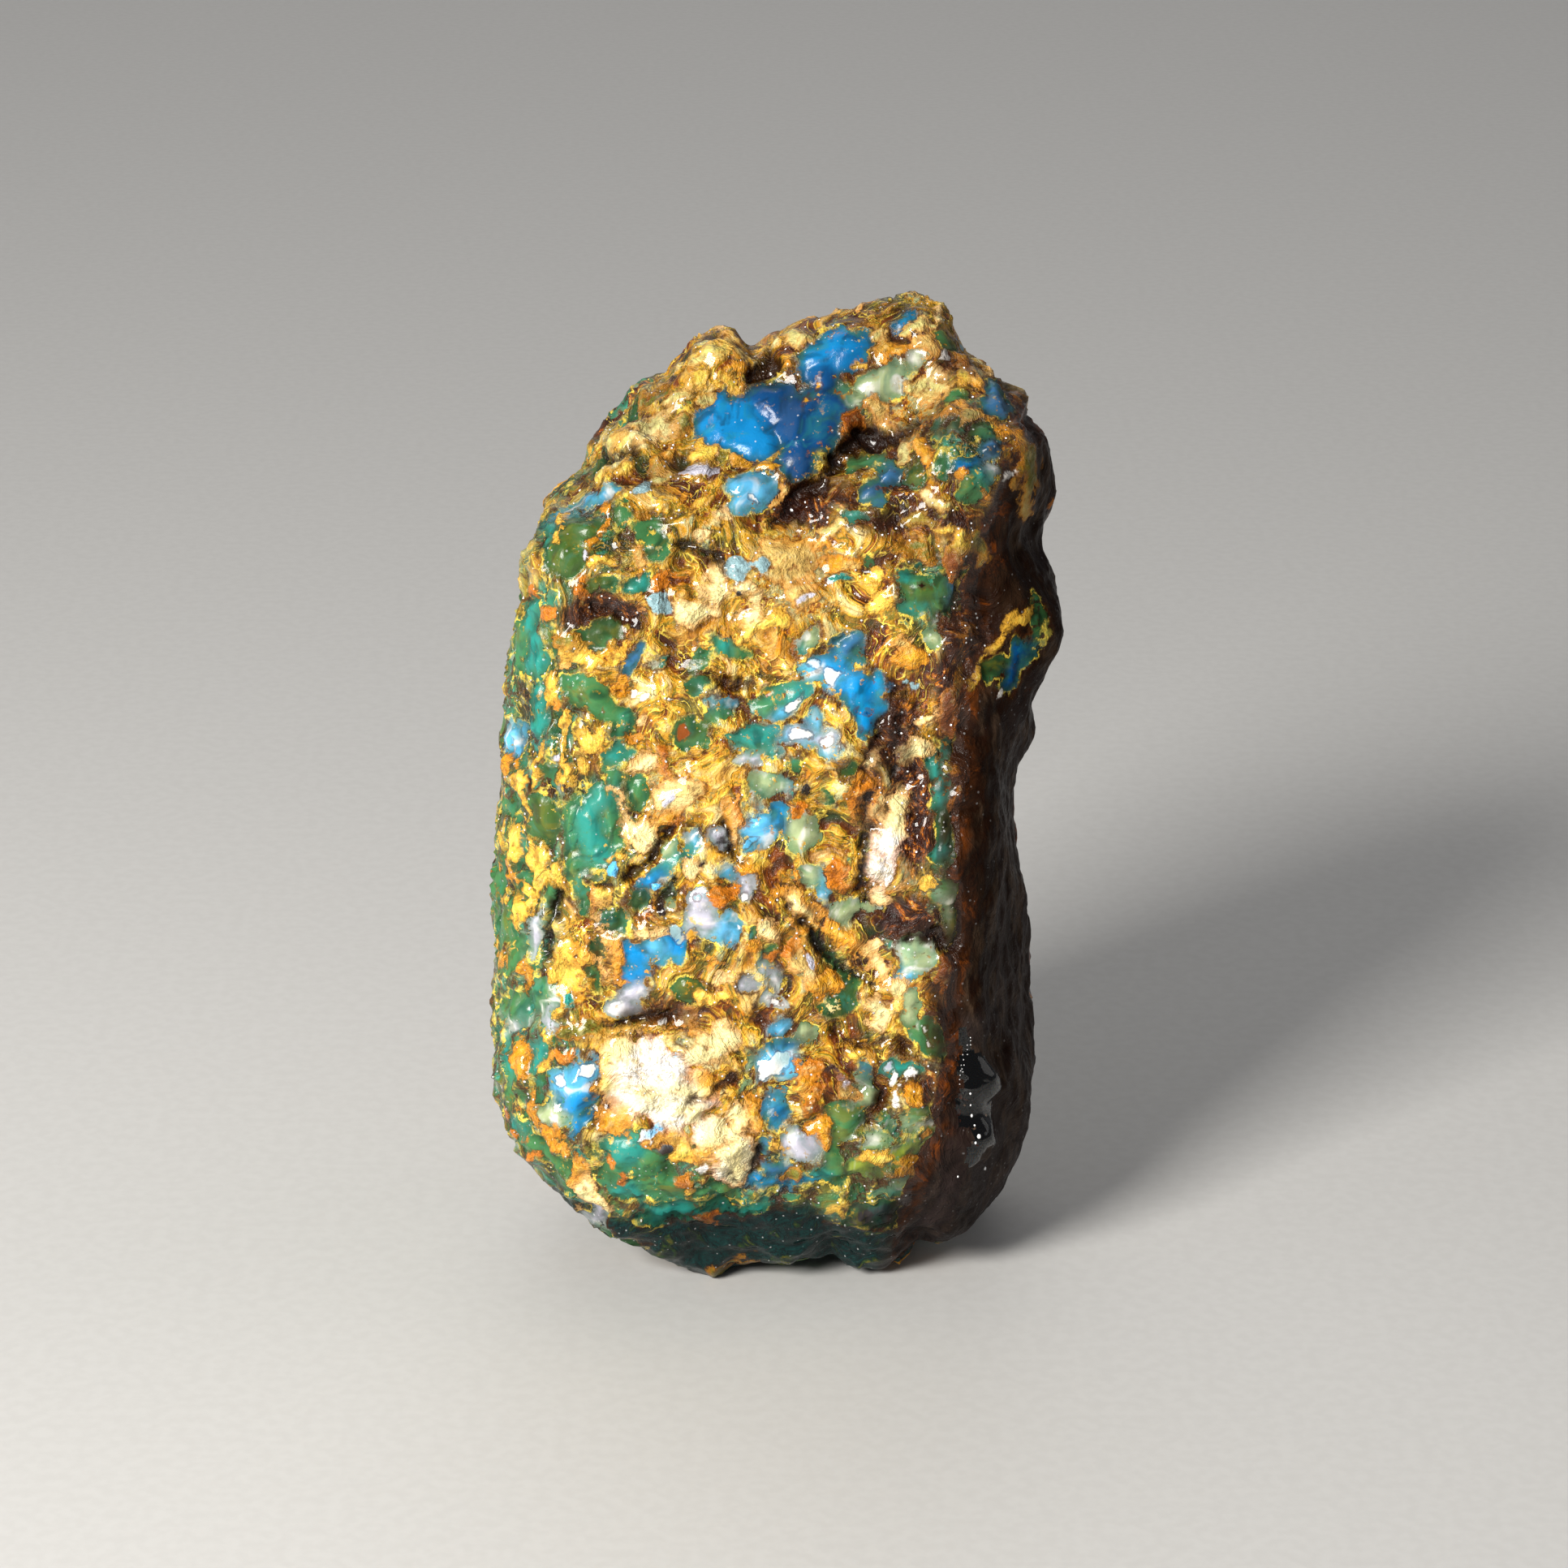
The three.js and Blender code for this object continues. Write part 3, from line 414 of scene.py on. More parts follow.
# %% List the beads and small details that lie on top
BEADS = {
    "frost": [
        (-6.3, 39.4, 0.6, 0.4, 15), (-1.6, 35.5, 0.6, 0.5), (-0.4, 35.4, 0.38, 0.38),
        (-5.3, 33.7, 0.6, 0.6), (-4.8, 17.4, 0.32, 0.42), (0.5, 11, 0.5, 0.3), (-3.7, 19, 0.22, 0.16),
        (6.8, 29.4, 0.4, 0.22),
    ],
    # The milk beads are mostly painted highlights on the windows and the crust.
    "milk_highlight": [
        (-6.8, 29.4, 0.18, 0.18), (-6.3, 29.1, 0.18, 0.18), (-4.9, 28.9, 0.18, 0.18),
        (5.8, 19.9, 0.22, 0.2), (-9, 10.7, 0.5, 0.35), (-10.4, 10.05, 0.13, 0.22), (-1.3, 19, 0.22, 0.28),
        (0, 10.6, 0.55, 0.4), (6, 9.6, 0.1, 0.8, 8), (6.3, 10.4, 0.08, 0.4), (6.8, 10.5, 0.08, 0.4),
        (6.2, 25.2, 0.25, 0.25), (11.8, 39.9, 0.25, 0.5, -25), (11.3, 29.1, 0.1, 0.24),
        (-6.4, 7.4, 0.2, 0.2), (-7, 7.1, 0.13, 0.13), (-5.8, 7.2, 0.12, 0.12), (-3.1, 5.7, 0.3, 0.22),
        (-5.6, 12.9, 0.24, 0.08, 20), (2, 30.4, 0.45, 0.2), (3.2, 29.9, 0.45, 0.35),
        (1.2, 28.6, 0.6, 0.12, 30), (1.4, 27.1, 0.5, 0.2), (2.6, 26.9, 0.4, 0.2), (-0.9, 38.6, 0.22, 0.2),
        (8.4, 45.9, 0.3, 0.16), (-0.5, 13.3, 0.28, 0.18), (0.3, 13.9, 0.3, 0.2), (8, 12.2, 0.07, 0.3),
    ],
    "sky": [
        (-4.6, 11.6, 0.28, 0.18), (-5.7, 7.6, 0.45, 0.2), (-1.1, 23, 0.25, 0.2), (-1.2, 21.7, 0.25, 0.12),
        (-8.1, 20.6, 0.28, 0.34), (-5.7, 19.6, 0.25, 0.18), (2.1, 30.5, 0.2, 0.12),
    ],
    "lilac": [
        (-5.2, 24, 0.18, 0.24), (-10.7, 26, 0.26, 0.22), (-3.4, 40.2, 1.0, 0.26, 10), (1.9, 16, 0.28, 0.3),
        (1.8, 34.1, 0.6, 0.14, 25), (-9, 36, 0.16, 0.3), (3.6, 9.9, 0.2, 0.2),
    ],
    "gold": [
        (-0.1, 40.6, 0.4, 0.3), (-1.4, 40.7, 0.45, 0.17), (2.3, 44.5, 0.14, 0.14), (1.9, 43.9, 0.17, 0.17),
        (-6.8, 35.3, 0.7, 0.1), (-3.8, 17.2, 0.22, 0.28), (-1.5, 11, 0.2, 0.15), (4.1, 12, 0.6, 0.14, 15),
    ],
    "teal": [(3.2, 35, 0.35, 0.25), (-10, 14, 0.3, 0.4), (1, 24.2, 0.16, 0.16)],
    "deep": [(4.2, 28.6, 0.14, 0.14), (4.8, 28.4, 0.12, 0.12), (4.4, 27.7, 0.12, 0.12), (6, 11, 0.14, 0.2)],
    # The umber beads are dark spots: partly dark crust, partly holes and gaps in painted shade.
    "umber": [
        (-5.3, 18.5, 0.22, 0.26), (-1.7, 34.2, 0.12, 0.25), (-7, 32.3, 0.4, 0.3), (7.8, 34.6, 0.2, 0.16),
        (-3.5, 20.7, 0.08, 0.1), (1.8, 24.6, 0.35, 0.25), (4.8, 24, 0.12, 0.5), (-2, 10.2, 0.32, 0.28),
        (-5.4, 6.6, 0.25, 0.3), (2.9, 10.6, 0.38, 0.12),
    ],
    "rust": [
        (-4.3, 27.2, 0.28, 0.45), (3.2, 10.1, 0.22, 0.2), (1.6, 23.4, 0.22, 0.25), (2.3, 8.9, 0.35, 0.18),
    ],
}
print(sum(len(ovals) for ovals in BEADS.values()), "beads and small details")

# %% List the ridges and the crevices
RIDGES = [  # colour, half width, and the places that it runs through
    ("straw", 0.12, [(10.1, 29.5), (10.8, 31.4), (11.6, 32.3), (12.5, 33.4), (12.9, 33.9)]),
    ("cream", 0.11, [(-8.3, 26), (-8.2, 24.9), (-7.5, 24.1), (-7.2, 23.2)]),
    ("gold", 0.26, [(0.2, 19.4), (1.4, 19.2), (2.4, 18.5), (3.2, 17.4), (4.1, 16.7), (5, 15.9), (5.6, 15)]),
    ("gold", 0.22, [(-12, 9.4), (-11.9, 8.9), (-11.4, 7.9), (-10.8, 7.2), (-10, 6.6), (-9.5, 6.1)]),
    ("sage", 0.13, [(5.4, 24.2), (5.2, 23.4), (4.7, 22.6), (4, 22.3)]),
    ("gold", 0.13, [(4, 23.2), (4, 24.2), (4.4, 25), (4.9, 24.9), (5, 24.2), (4.7, 23.4), (4.2, 22.9)]),
    ("cream", 0.1, [(-8.3, 18.8), (-8.6, 18.2), (-8.6, 17.5), (-8, 17.2)]),
    ("gold", 0.2, [(8, 43), (9.5, 43.4), (10.5, 42.8), (11.6, 42.2), (12.4, 41.3), (12.4, 40.2)]),
    ("straw", 0.16, [(-4.2, 46.2), (-2.6, 46.6), (-1, 46.3)]),
    ("cream", 0.1, [(-1.95, 23.9), (-1.9, 22.7), (-1.7, 21.8)]),
    ("straw", 0.12, [(-8.8, 11.6), (-8.4, 12.2), (-7.8, 12.7), (-7, 12.6), (-6, 12.3)]),
    ("straw", 0.11, [(-11.4, 20.3), (-11.9, 18.9), (-12.4, 17.4)]),
    ("straw", 0.12, [(-8.3, 21.2), (-7.6, 21.4), (-7.4, 21.8)]),
    ("gold", 0.12, [(-8.9, 17.6), (-9, 16.6), (-8.6, 15.8), (-8.2, 15)]),
    ("gold", 0.1, [(-6, 13), (-5.2, 12.9), (-4.2, 12.7), (-3, 12.9)]),
]
# Crevices are sunk, and their dark colours are partly their own and partly painted shade.
CREVICES = [  # the same
    ("umber", 0.28, [(-4.6, 36.9), (-3.4, 36.2), (-2.2, 35.4)]),
    ("brown", 0.12, [(5.9, 29.2), (5.3, 27.6), (5, 26.2), (4.7, 25.4), (5, 24.6)]),
    ("umber", 0.14, [(4.7, 24.2), (4.9, 23), (4.6, 21.6), (4.2, 20.2), (4.6, 18.8)]),
    ("umber", 0.26, [(-4.4, 22.5), (-5.2, 22.1), (-6, 21.4), (-7, 20.5), (-8.2, 19.6)]),
    ("umber", 0.2, [(-2.7, 22.8), (-2.3, 21.9), (-1.5, 21)]),
    ("brown", 0.45, [(-0.1, 46.3), (-0.2, 45.4), (-0.8, 44.7)]),
    ("maroon", 0.5, [(0.2, 37.9), (1.2, 38.4), (2, 39.1), (2.6, 39.9)]),
    ("umber", 0.42, [(2.4, 39.8), (3.3, 40.9), (4.2, 41.5), (5.6, 42), (7.2, 42.9)]),
    ("umber", 0.26, [(0.9, 18.5), (2, 17.4), (2.9, 16.4), (3.9, 15.4), (5.1, 14.8)]),
    ("umber", 0.14, [(-10.5, 19.6), (-10.8, 18), (-10.9, 16.4)]),
    ("umber", 0.16, [(-9.8, 41.2), (-8.3, 41), (-6.8, 41.2)]),
    ("maroon", 0.08, [(6.4, 29), (6.5, 27), (6, 25.2), (6.9, 24.2), (7.2, 22), (7, 20.6)]),
    ("brown", 0.14, [(-4.4, 9.2), (-3.2, 9.4), (-2.3, 9.8), (-1.7, 10.6)]),
    ("brown", 0.16, [(2.8, 12.8), (3.9, 12.1), (5, 11.8), (6, 12), (7.1, 11.6)]),
    ("rust", 0.3, [(5.5, 10.5), (5.4, 9.2), (4.9, 7.8)]),
    ("maroon", 0.3, [(6.8, 17), (8, 17.4), (9, 16.9)]),
    ("umber", 0.16, [(-5, 17.9), (-5.4, 18.7), (-4.9, 20)]),
    ("brown", 0.18, [(-8.1, 12.8), (-6.6, 13), (-5.4, 13.2), (-4.3, 14.1)]),
    ("umber", 0.2, [(-2.1, 5.3), (-1, 5.4), (-0.5, 6.8)]),
    ("brown", 0.2, [(-9, 33.6), (-8.2, 33.1), (-7.2, 32.6)]),
    ("brown", 0.18, [(-3.2, 30.3), (-2, 29.6), (-0.9, 29.9)]),
]
print(len(RIDGES), "ridges and", len(CREVICES), "crevices")

# %% List the kinds of ground, and where the block itself stands out or falls back
GROUND = {
    "green": [
        (-13.2, 20, 1.6, 18), (-11.6, 20, 1.4, 6), (-11.4, 9, 2.4, 6), (-10, 5, 4, 2.4, -40),
        (-5.8, 5.4, 2.8, 1.7), (-11.2, 29, 1.8, 6), (-8.8, 22.4, 1.6, 3), (8.6, 21.6, 1, 5),
        (5.8, 7, 2.4, 1.8), (2.4, 5.3, 2.6, 0.9), (-9.4, 37, 2.4, 1.8), (8, 34.2, 2, 1.8),
        (-4, 3.9, 5, 1.5), (3.4, 4.2, 4, 1), (-9.8, 40.6, 0.7, 2.3, -35), (-7.8, 43.6, 0.5, 2.0, -45),
        (9.4, 41.6, 1.6, 1.6),
    ],
    "crumb": [
        (7, 23.5, 1.5, 3.5), (7, 18.2, 2.1, 1.5), (5, 24, 0.7, 2), (8.6, 15.5, 0.7, 1.6),
        (1.2, 38.4, 2.2, 1), (7.6, 10, 0.8, 1.3), (6.1, 27.2, 1.5, 2.2), (10, 33, 1.1, 3.4, 8),
        (-8.2, 33, 2.2, 1.4), (-6.3, 18.4, 0.9, 0.8), (-11, 25, 1.2, 1), (-5, 13.4, 1.6, 0.7),
        (8.6, 29.6, 1, 2), (8.9, 25, 0.6, 3), (9, 32, 0.9, 3), (8.8, 10, 0.7, 3),
        (12.2, 43.4, 0.9, 2.6, 12), (6.4, 37.6, 3, 0.7), (6, 42.4, 3, 0.9, 20), (8.6, 45.2, 1.8, 0.8),
        (3.6, 38.9, 2, 0.8), (6.6, 46.9, 2, 0.5), (9.4, 37.6, 1.2, 1.2), (7.4, 43, 2, 0.6, 20),
        (8.6, 13, 0.6, 1.6),
    ],
    # painted shade: the dusk ovals darken hollows and places that turn from the lamp
    "dusk": [
        (9.2, 42.6, 1.8, 0.9), (9.3, 45.6, 1.5, 1.2), (9.8, 33, 0.9, 5), (2.8, 39.3, 1.6, 1),
        (6.4, 37.8, 2.4, 0.8), (-0.4, 45.4, 0.8, 1.2), (7.6, 17.6, 1.5, 0.7), (6.2, 5.4, 1.4, 0.8),
        (5.2, 9, 0.7, 1.2), (-5.4, 13.4, 2, 0.6), (9.2, 24, 0.9, 9), (8.6, 13.6, 0.8, 3), (6, 27, 1.2, 1.9),
        (-9, 33, 1.2, 0.8), (5.4, 41.6, 2, 0.8, 20),
    ],
    "sand": [(0.9, 35.6, 2.1, 1.6), (1.6, 33.9, 1.2, 0.8), (-4.7, 24.3, 1.6, 1.1), (6.4, 44.4, 2, 1.6)],
}
SMOKE_EDGE = [
    (0, 6.0), (4, 6.2), (6, 7.1), (8, 7.9), (11, 8.4), (14, 8.6), (18, 8.8), (24, 8.9), (28.5, 9.2),
    (31, 10.2), (34, 9.8), (38, 10.6), (42, 12.6), (50, 14),
]  # height, and how far right the bare flank begins
BULGES = [
    (-10.6, 41, 1.7, -1.1), (-9.5, 43, 1.8, -1.0), (-8, 44.9, 1.8, -1.2), (-5.8, 46.3, 1.3, -1.2),
    (-3, 47.1, 1.2, 0.2), (-0.9, 47.2, 0.9, -0.9), (10.7, 47.6, 1.5, -1.9), (12.2, 45.8, 1.4, -1.0),
    (13.6, 43, 0.9, -0.8), (8.4, 49.3, 1.3, -0.7), (13, 27.4, 1.4, 0.45), (14.1, 32.6, 1.8, 0.4),
    (13.6, 36.8, 1.4, -0.7), (13, 11, 2.2, 0.6), (10.2, 10, 1.0, 0.9), (10.1, 7.2, 0.9, 0.8),
    (-3, 0.8, 1.1, 0.6), (3, 1.2, 0.8, -0.8), (7.4, 1.8, 0.9, -0.8), (-7.6, 2.2, 1.5, 0.4),
]  # how far right, how high, how wide, and how far the surface stands out there
print(len(GROUND), "kinds of ground and", len(BULGES), "bulges and hollows")

# %% [markdown]
# ## From marks to fields
# A field is one number at each vertex of the fine mesh. For each kind of mark it says how deep inside the
# nearest mark the place is, in millimetres, and it is negative outside. The shader can then draw a sharp
# edge where the field crosses 0, a rim a little outside it and a paler middle further in. That is far
# sharper than painting the vertices themselves. Beside each field goes the colour of the marks close by.

# %% Work out where each vertex is seen, and wave the marks' outlines
FAR = -1.2  # mm, the field's value well outside every mark
BLEND = 0.2  # mm, over which the colours of neighbouring marks run together
LONG_WAVE, LONG_SWAY = 1.5, 0.5  # mm, the slow waves of the outlines: length and reach
SHORT_WAVE, SHORT_SWAY = 0.55, 0.24  # mm, the quick ones
WAVE_SEED = 6  # without a seed, the waves would differ each time that the file is run
FLOW_SHARES = (1.2, 1.2, 0.72)  # the crust's own pattern is drawn out upwards

noise.seed_set(WAVE_SEED)


def waves(points, length, reach):
    """A smooth random push at each place, in mm; read at places moved aside, it is another push."""
    pushes = [noise.noise_vector(Vector(point) / length) for point in points]
    return np.array(pushes) * reach


sway = waves(rest, LONG_WAVE, LONG_SWAY) + waves(rest + 40, SHORT_WAVE, SHORT_SWAY)
flow = rest * FLOW_SHARES  # where the crust's pattern is read: drawn out, and pushed about twice
flow = flow + waves(rest + 80, 3.6, 3.0) + waves(rest + 120, 1.2, 1.0)
across, height = seen_at(rest + sway)
toward_eye = np.array(eye) - rest
toward_eye /= np.linalg.norm(toward_eye, axis=1)[:, None]
frontness = np.einsum("ij,ij->i", toward_eye, facing)  # 1 where the surface faces the camera, 0 edge on
print("seen from the front:", int((frontness > 0).sum()), "of", len(rest), "vertices")

# %% Let the block stand out and fall back
FRONT_EDGE = -0.02  # frontness up to which the marks of the front are laid


def step(value, low, high):
    """0 below low, 1 above high and a smooth rise between them."""
    share = np.clip((value - low) / (high - low), 0, 1)
    return share * share * (3 - 2 * share)


bulge = np.zeros(len(rest))
for right, up, reach, rise in BULGES:
    bulge += rise * np.exp(-((across - right) ** 2 + (height - up) ** 2) / reach**2)
behind = frontness + 0.25 * step(height, 36, 40)
bulge *= step(behind, -0.7, -0.2)  # the back keeps its shape, but for a strip just behind the top edge
unseen = 1.6 * (1 - step(frontness, FRONT_EDGE, 0.12))  # mm taken off the marks where the surface turns away
print(f"the block falls back {-bulge.min():.1f} mm and stands out {bulge.max():.1f} mm")

# %% Work out how deep places are inside a mark
def inside_oval(right, up, oval):
    """How deep places are inside an oval, in mm."""
    middle_right, middle_up, half_width, half_height = oval[:4]
    turn = math.radians(oval[4]) if len(oval) > 4 else 0
    dx = right - middle_right
    dy = up - middle_up
    along = (dx * math.cos(turn) + dy * math.sin(turn)) / half_width
    beside = (dy * math.cos(turn) - dx * math.sin(turn)) / half_height
    share = np.hypot(along, beside)
    steepness = np.hypot(along / half_width, beside / half_height) + 1e-6
    return share * (1 - share) / steepness


def inside_run(right, up, places, half_width):
    """How deep places are inside a band that runs through some points, in mm. The band thins to its ends."""
    most = np.full(len(right), -99.0)
    pairs = list(zip(places, places[1:]))
    for number, ((x0, y0), (x1, y1)) in enumerate(pairs):
        length = math.hypot(x1 - x0, y1 - y0)
        share = ((right - x0) * (x1 - x0) + (up - y0) * (y1 - y0)) / length**2
        share = np.clip(share, 0, 1)
        gap = np.hypot(right - x0 - share * (x1 - x0), up - y0 - share * (y1 - y0))
        fullness = np.sin(math.pi * (number + share) / len(pairs))
        most = np.maximum(most, half_width * (0.3 + 0.7 * fullness) - gap)
    return most


first = WINDOWS["deep"][0]
deepest = inside_oval(across, height, first).max()
print(f"an oval with half sides of {first[2]} and {first[3]} mm is up to {deepest:.2f} mm deep")

# %% Lay the marks of the front
class Field:
    """One kind of mark over the whole surface: how deep inside, and of what colour."""

    def __init__(self, colour_far_off):
        self.inside = np.full(len(rest), FAR)
        self.weight = np.full(len(rest), math.exp(FAR / BLEND))
        self.colour = self.weight[:, None] * np.array(paint(colour_far_off)[:3])

    def add(self, where, inside, colour):
        """Lays one mark; where picks the vertices, and inside is its field there."""
        self.inside[where] = np.maximum(self.inside[where], inside)
        weight = np.exp(np.clip(inside, FAR, 1) / BLEND)
        self.weight[where] += weight
        self.colour[where] += weight[:, None] * np.array(paint(colour)[:3])

    def tints(self):
        return self.colour / self.weight[:, None]


def lay_front(field, marks):
    """Lays the ovals of a list that are seen from the front."""
    for colour, ovals in marks.items():
        for oval in ovals:
            reach = max(oval[2:4]) + 1
            near = (abs(across - oval[0]) < reach) & (abs(height - oval[1]) < reach)
            where = np.flatnonzero(near & (frontness > FRONT_EDGE))
            inside = inside_oval(across[where], height[where], oval) - unseen[where]
            field.add(where, inside, colour)


def lay_runs(field, runs):
    """Lays bands that are seen from the front."""
    for colour, half_width, places in runs:
        where = np.flatnonzero(frontness > FRONT_EDGE)
        inside = inside_run(across[where], height[where], places, half_width) - unseen[where]
        close = inside > FAR
        field.add(where[close], inside[close], colour)


windows, plates, beads, crevices = Field("olive"), Field("gold"), Field("gold"), Field("umber")
lay_front(windows, WINDOWS)
lay_front(plates, PLATES)
lay_runs(plates, RIDGES)
lay_front(beads, BEADS)
lay_runs(crevices, CREVICES)
for name, field in (("window", windows), ("flake", plates), ("bead", beads), ("crevice", crevices)):
    print(f"inside a {name}: {(field.inside[frontness > 0] > 0).mean():.0%} of the front")

# %% [markdown]
# ## Marks for the sides, the back and the underside
# The rest of the stone has the same crust, but nobody chose its marks one by one. They are strewn at random
# from a fixed seed, in clusters as on the front: a handful of ovals of one colour close together, in the
# surface's own flat plane at that place. Most are taller than wide, as the crust was drawn out when the
# resin ran down the bark.

# %% Strew marks over the surface that the front view doesn't reach
STREW_SEED = 41
UNSEEN_FROM = -0.12  # frontness below which a place may take a strewn mark
SAME_SIDE = 0.25  # how alike the places of a cluster face: 1 is the same way, 0 is square to it
STREWN = [  # field, its colours, how many clusters, ovals in each, half width, how drawn out
    (windows, ["deep", "azure", "sky", "slate"], 12, (3, 6), (0.4, 1.0), (0.8, 1.8)),
    (windows, ["teal", "leaf", "sea", "moss", "leaf"], 46, (3, 7), (0.35, 1.1), (1.0, 2.6)),
    (windows, ["lilac", "sage"], 14, (2, 5), (0.3, 0.8), (0.8, 1.8)),
    (plates, ["cream", "straw", "gold", "tan"], 48, (2, 5), (0.15, 0.7), (1.0, 3.2)),
    (plates, ["orange", "rust", "olive", "tan"], 24, (2, 5), (0.2, 0.7), (1.0, 2.6)),
    (beads, ["milk_highlight", "gold", "sky", "umber", "frost"], 60, (1, 3), (0.1, 0.28), (1.0, 1.6)),
    (crevices, ["umber", "maroon"], 42, (2, 4), (0.12, 0.3), (3.0, 8.0)),
]
chance = np.random.default_rng(STREW_SEED)
hidden = np.flatnonzero(frontness < 0)
swayed = rest + sway
laid = 0


def lay_cluster(field, centre, colour, count, sizes, stretches):
    """Lays some random ovals of one colour round a vertex, in the plane of the surface there."""
    normal = facing[centre]
    level = np.cross((0, 0, 1), normal) + np.array((1e-3, 0, 0))
    level /= np.linalg.norm(level)
    steep = np.cross(normal, level)
    offset = swayed - swayed[centre]
    reach = count * sizes[1] + stretches[1] * sizes[1]
    close = (np.abs(offset).max(axis=1) < reach) & (facing @ normal > SAME_SIDE)
    where = np.flatnonzero(close & (frontness < UNSEEN_FROM))
    right, up = offset[where] @ level, offset[where] @ steep
    lean = chance.normal(0, 18) if abs(normal[2]) < 0.6 else chance.uniform(0, 180)
    for _ in range(count):
        half_width = chance.uniform(*sizes)
        half_height = half_width * chance.uniform(*stretches)
        middle = chance.normal(0, 0.42 * sizes[1] * math.sqrt(count), 2) * (1, 1.4)
        oval = (*middle, half_width, half_height, lean + chance.normal(0, 14))
        field.add(where, inside_oval(right, up, oval), colour)


for field, colours, clusters, counts, sizes, stretches in STREWN:
    for centre in chance.choice(hidden, clusters, replace=False):
        count = int(chance.integers(*counts))
        lay_cluster(field, centre, colours[chance.integers(len(colours))], count, sizes, stretches)
        laid += count
print("strewn:", laid, "marks over", len(hidden), "vertices")

# %% [markdown]
# ## Kinds of ground
# Between the marks the crust itself changes. It is a gold network in the middle, green where the resin
# shows through on the left, brown crumb in the hollows, pale sand in a few places, smooth and smoky on the
# right flank, and dark teal on the underside, its colours darkened as painted shade. The smoky flank's dark
# colours are partly its own and partly painted shade. Each kind is a number from 0 to 1 at every vertex.
# Two more numbers only change how the crust looks: dusk is painted shade that browns and darkens the
# hollows, the top and the margin of the flank, and polish says where the bare resin is smooth.
# Where the flank is smoky, and just behind the top edge, the marks are hushed: their fields are lowered,
# so that only the deepest of them are left.

# %% Share the ground out
GROUND_EDGE = 0.7  # mm, over which one kind of ground gives way to the next
LEFT_FLANK = (10.8, 12.6)  # mm to the left of the middle, between which the green takes over
FOOT_FRONT, FOOT_ROUND = 4.1, 4.6  # mm up, as seen and as it is: the shade begins about there


def ground_share(ovals):
    """How much of one kind of ground there is at each vertex, from the ovals that are seen in front."""
    inside = np.full(len(rest), -9.0)
    for oval in ovals:
        inside = np.maximum(inside, inside_oval(across, height, oval))
    return step(inside, -GROUND_EDGE, GROUND_EDGE) * step(frontness, -0.2, 0.1)


slow = waves(rest + 7, 6.0, 1.0)  # slow noise that shares out the ground of the back
turned = step(-frontness, -0.1, 0.2)  # 1 on the sides and the back
green = np.maximum(ground_share(GROUND["green"]), step(slow[:, 0], 0.02, 0.3) * turned)
green = np.maximum(green, step(-rest[:, 0], *LEFT_FLANK) * 0.9)
crumb = np.maximum(ground_share(GROUND["crumb"]), step(slow[:, 1], 0.1, 0.4) * turned)
sand = ground_share(GROUND["sand"])

edge_heights, edge_rights = zip(*SMOKE_EDGE)
past_edge = across - np.interp(height, edge_heights, edge_rights)
smoke_front = step(past_edge, -0.3, 1.6) * step(frontness, -0.1, 0.1)
smoke_side = step(facing[:, 0] + 0.5 * slow[:, 2], 0.35, 0.75) * step(rest[:, 0], 8, 10)
smoke_side *= step(-rest[:, 2], -43, -38)
smoke_side *= 1 - step(rest[:, 1] + 5 * slow[:, 1], 2.5, 6)  # crust takes over toward the back
smoke = np.where(frontness > 0.05, smoke_front, np.maximum(smoke_side, smoke_front))

# shade: the underside and the foot band, whose colours are darkened as painted shade
underside = step(-facing[:, 2] - 0.12 * (rest[:, 2] - 4.5), 0.3, 0.75)
foot_front = step(FOOT_FRONT - height + 0.6 * slow[:, 0], -0.3, 0.7)
foot_front = foot_front * (1 - smoke_front) * step(frontness, 0, 0.1)
foot_round = step(FOOT_ROUND - rest[:, 2] + 0.8 * slow[:, 0], 0, 1.6) * (1 - smoke)
shade = np.max([underside, foot_front, foot_round], axis=0)
shares = {"green": green, "crumb": crumb, "sand": sand, "smoke": smoke, "shade": shade}
for name, share in shares.items():
    print(f"{name} ground: {share.mean():.0%}")

# %% Paint shade into the hollows, polish the bare resin and hush the flank's marks
BARE = [  # bare polished resin: ovals, as seen from the front
    (9.75, 10, 0.6, 2.8, 4), (10, 7.4, 0.5, 1.4, -12),
]
FLANK_HUSH, TOP_HUSH = 1.4, 1.3  # mm off the fields of the marks there

seen = step(frontness, -0.2, 0.1)
# dusk is painted shade: the margin of the flank that turns from the lamp, the top that the lamp reaches less,
# and the listed hollows
painted_dusk_at_flank = step(past_edge, -1.6, 0.2) * (1 - smoke_front) * seen
painted_dusk_at_top = 0.5 * step(height, 31, 40) * seen
dusk = np.max([ground_share(GROUND["dusk"]), painted_dusk_at_flank, painted_dusk_at_top], axis=0)

in_bare = np.max([inside_oval(across, height, oval) for oval in BARE], axis=0)
polish = step(in_bare, -0.5, 0.1) * step(frontness, -0.1, 0.1)

out_of_sight = step(-frontness, -0.12, 0)
flank_hush = FLANK_HUSH * step(smoke, 0.05, 0.45) * np.maximum(step(-height, -29, -26), out_of_sight)
top_hush = TOP_HUSH * (step(height, 40, 42) * step(-frontness, -0.1, 0.02))
windows.inside -= flank_hush + top_hush
plates.inside -= flank_hush + top_hush
crevices.inside -= top_hush
beads.inside -= flank_hush * out_of_sight
hushed = (flank_hush + top_hush > 0.5).mean()
print(f"dusk: {dusk.mean():.0%}, polish: {polish.mean():.1%}, hushed: {hushed:.0%}")

# %% Store the fields on the mesh
def store(name, values, kind="FLOAT"):
    """Keeps one value for each vertex under a name that node trees can read."""
    keys = {"FLOAT": "value", "FLOAT_VECTOR": "vector", "FLOAT_COLOR": "color"}
    attribute = skin.attributes.new(name, kind, "POINT")
    attribute.data.foreach_set(keys[kind], np.ascontiguousarray(values, dtype=np.float32).ravel())


def with_one(colours):
    """Adds the fourth channel that a stored colour has."""
    return np.column_stack([colours, np.ones(len(colours))])


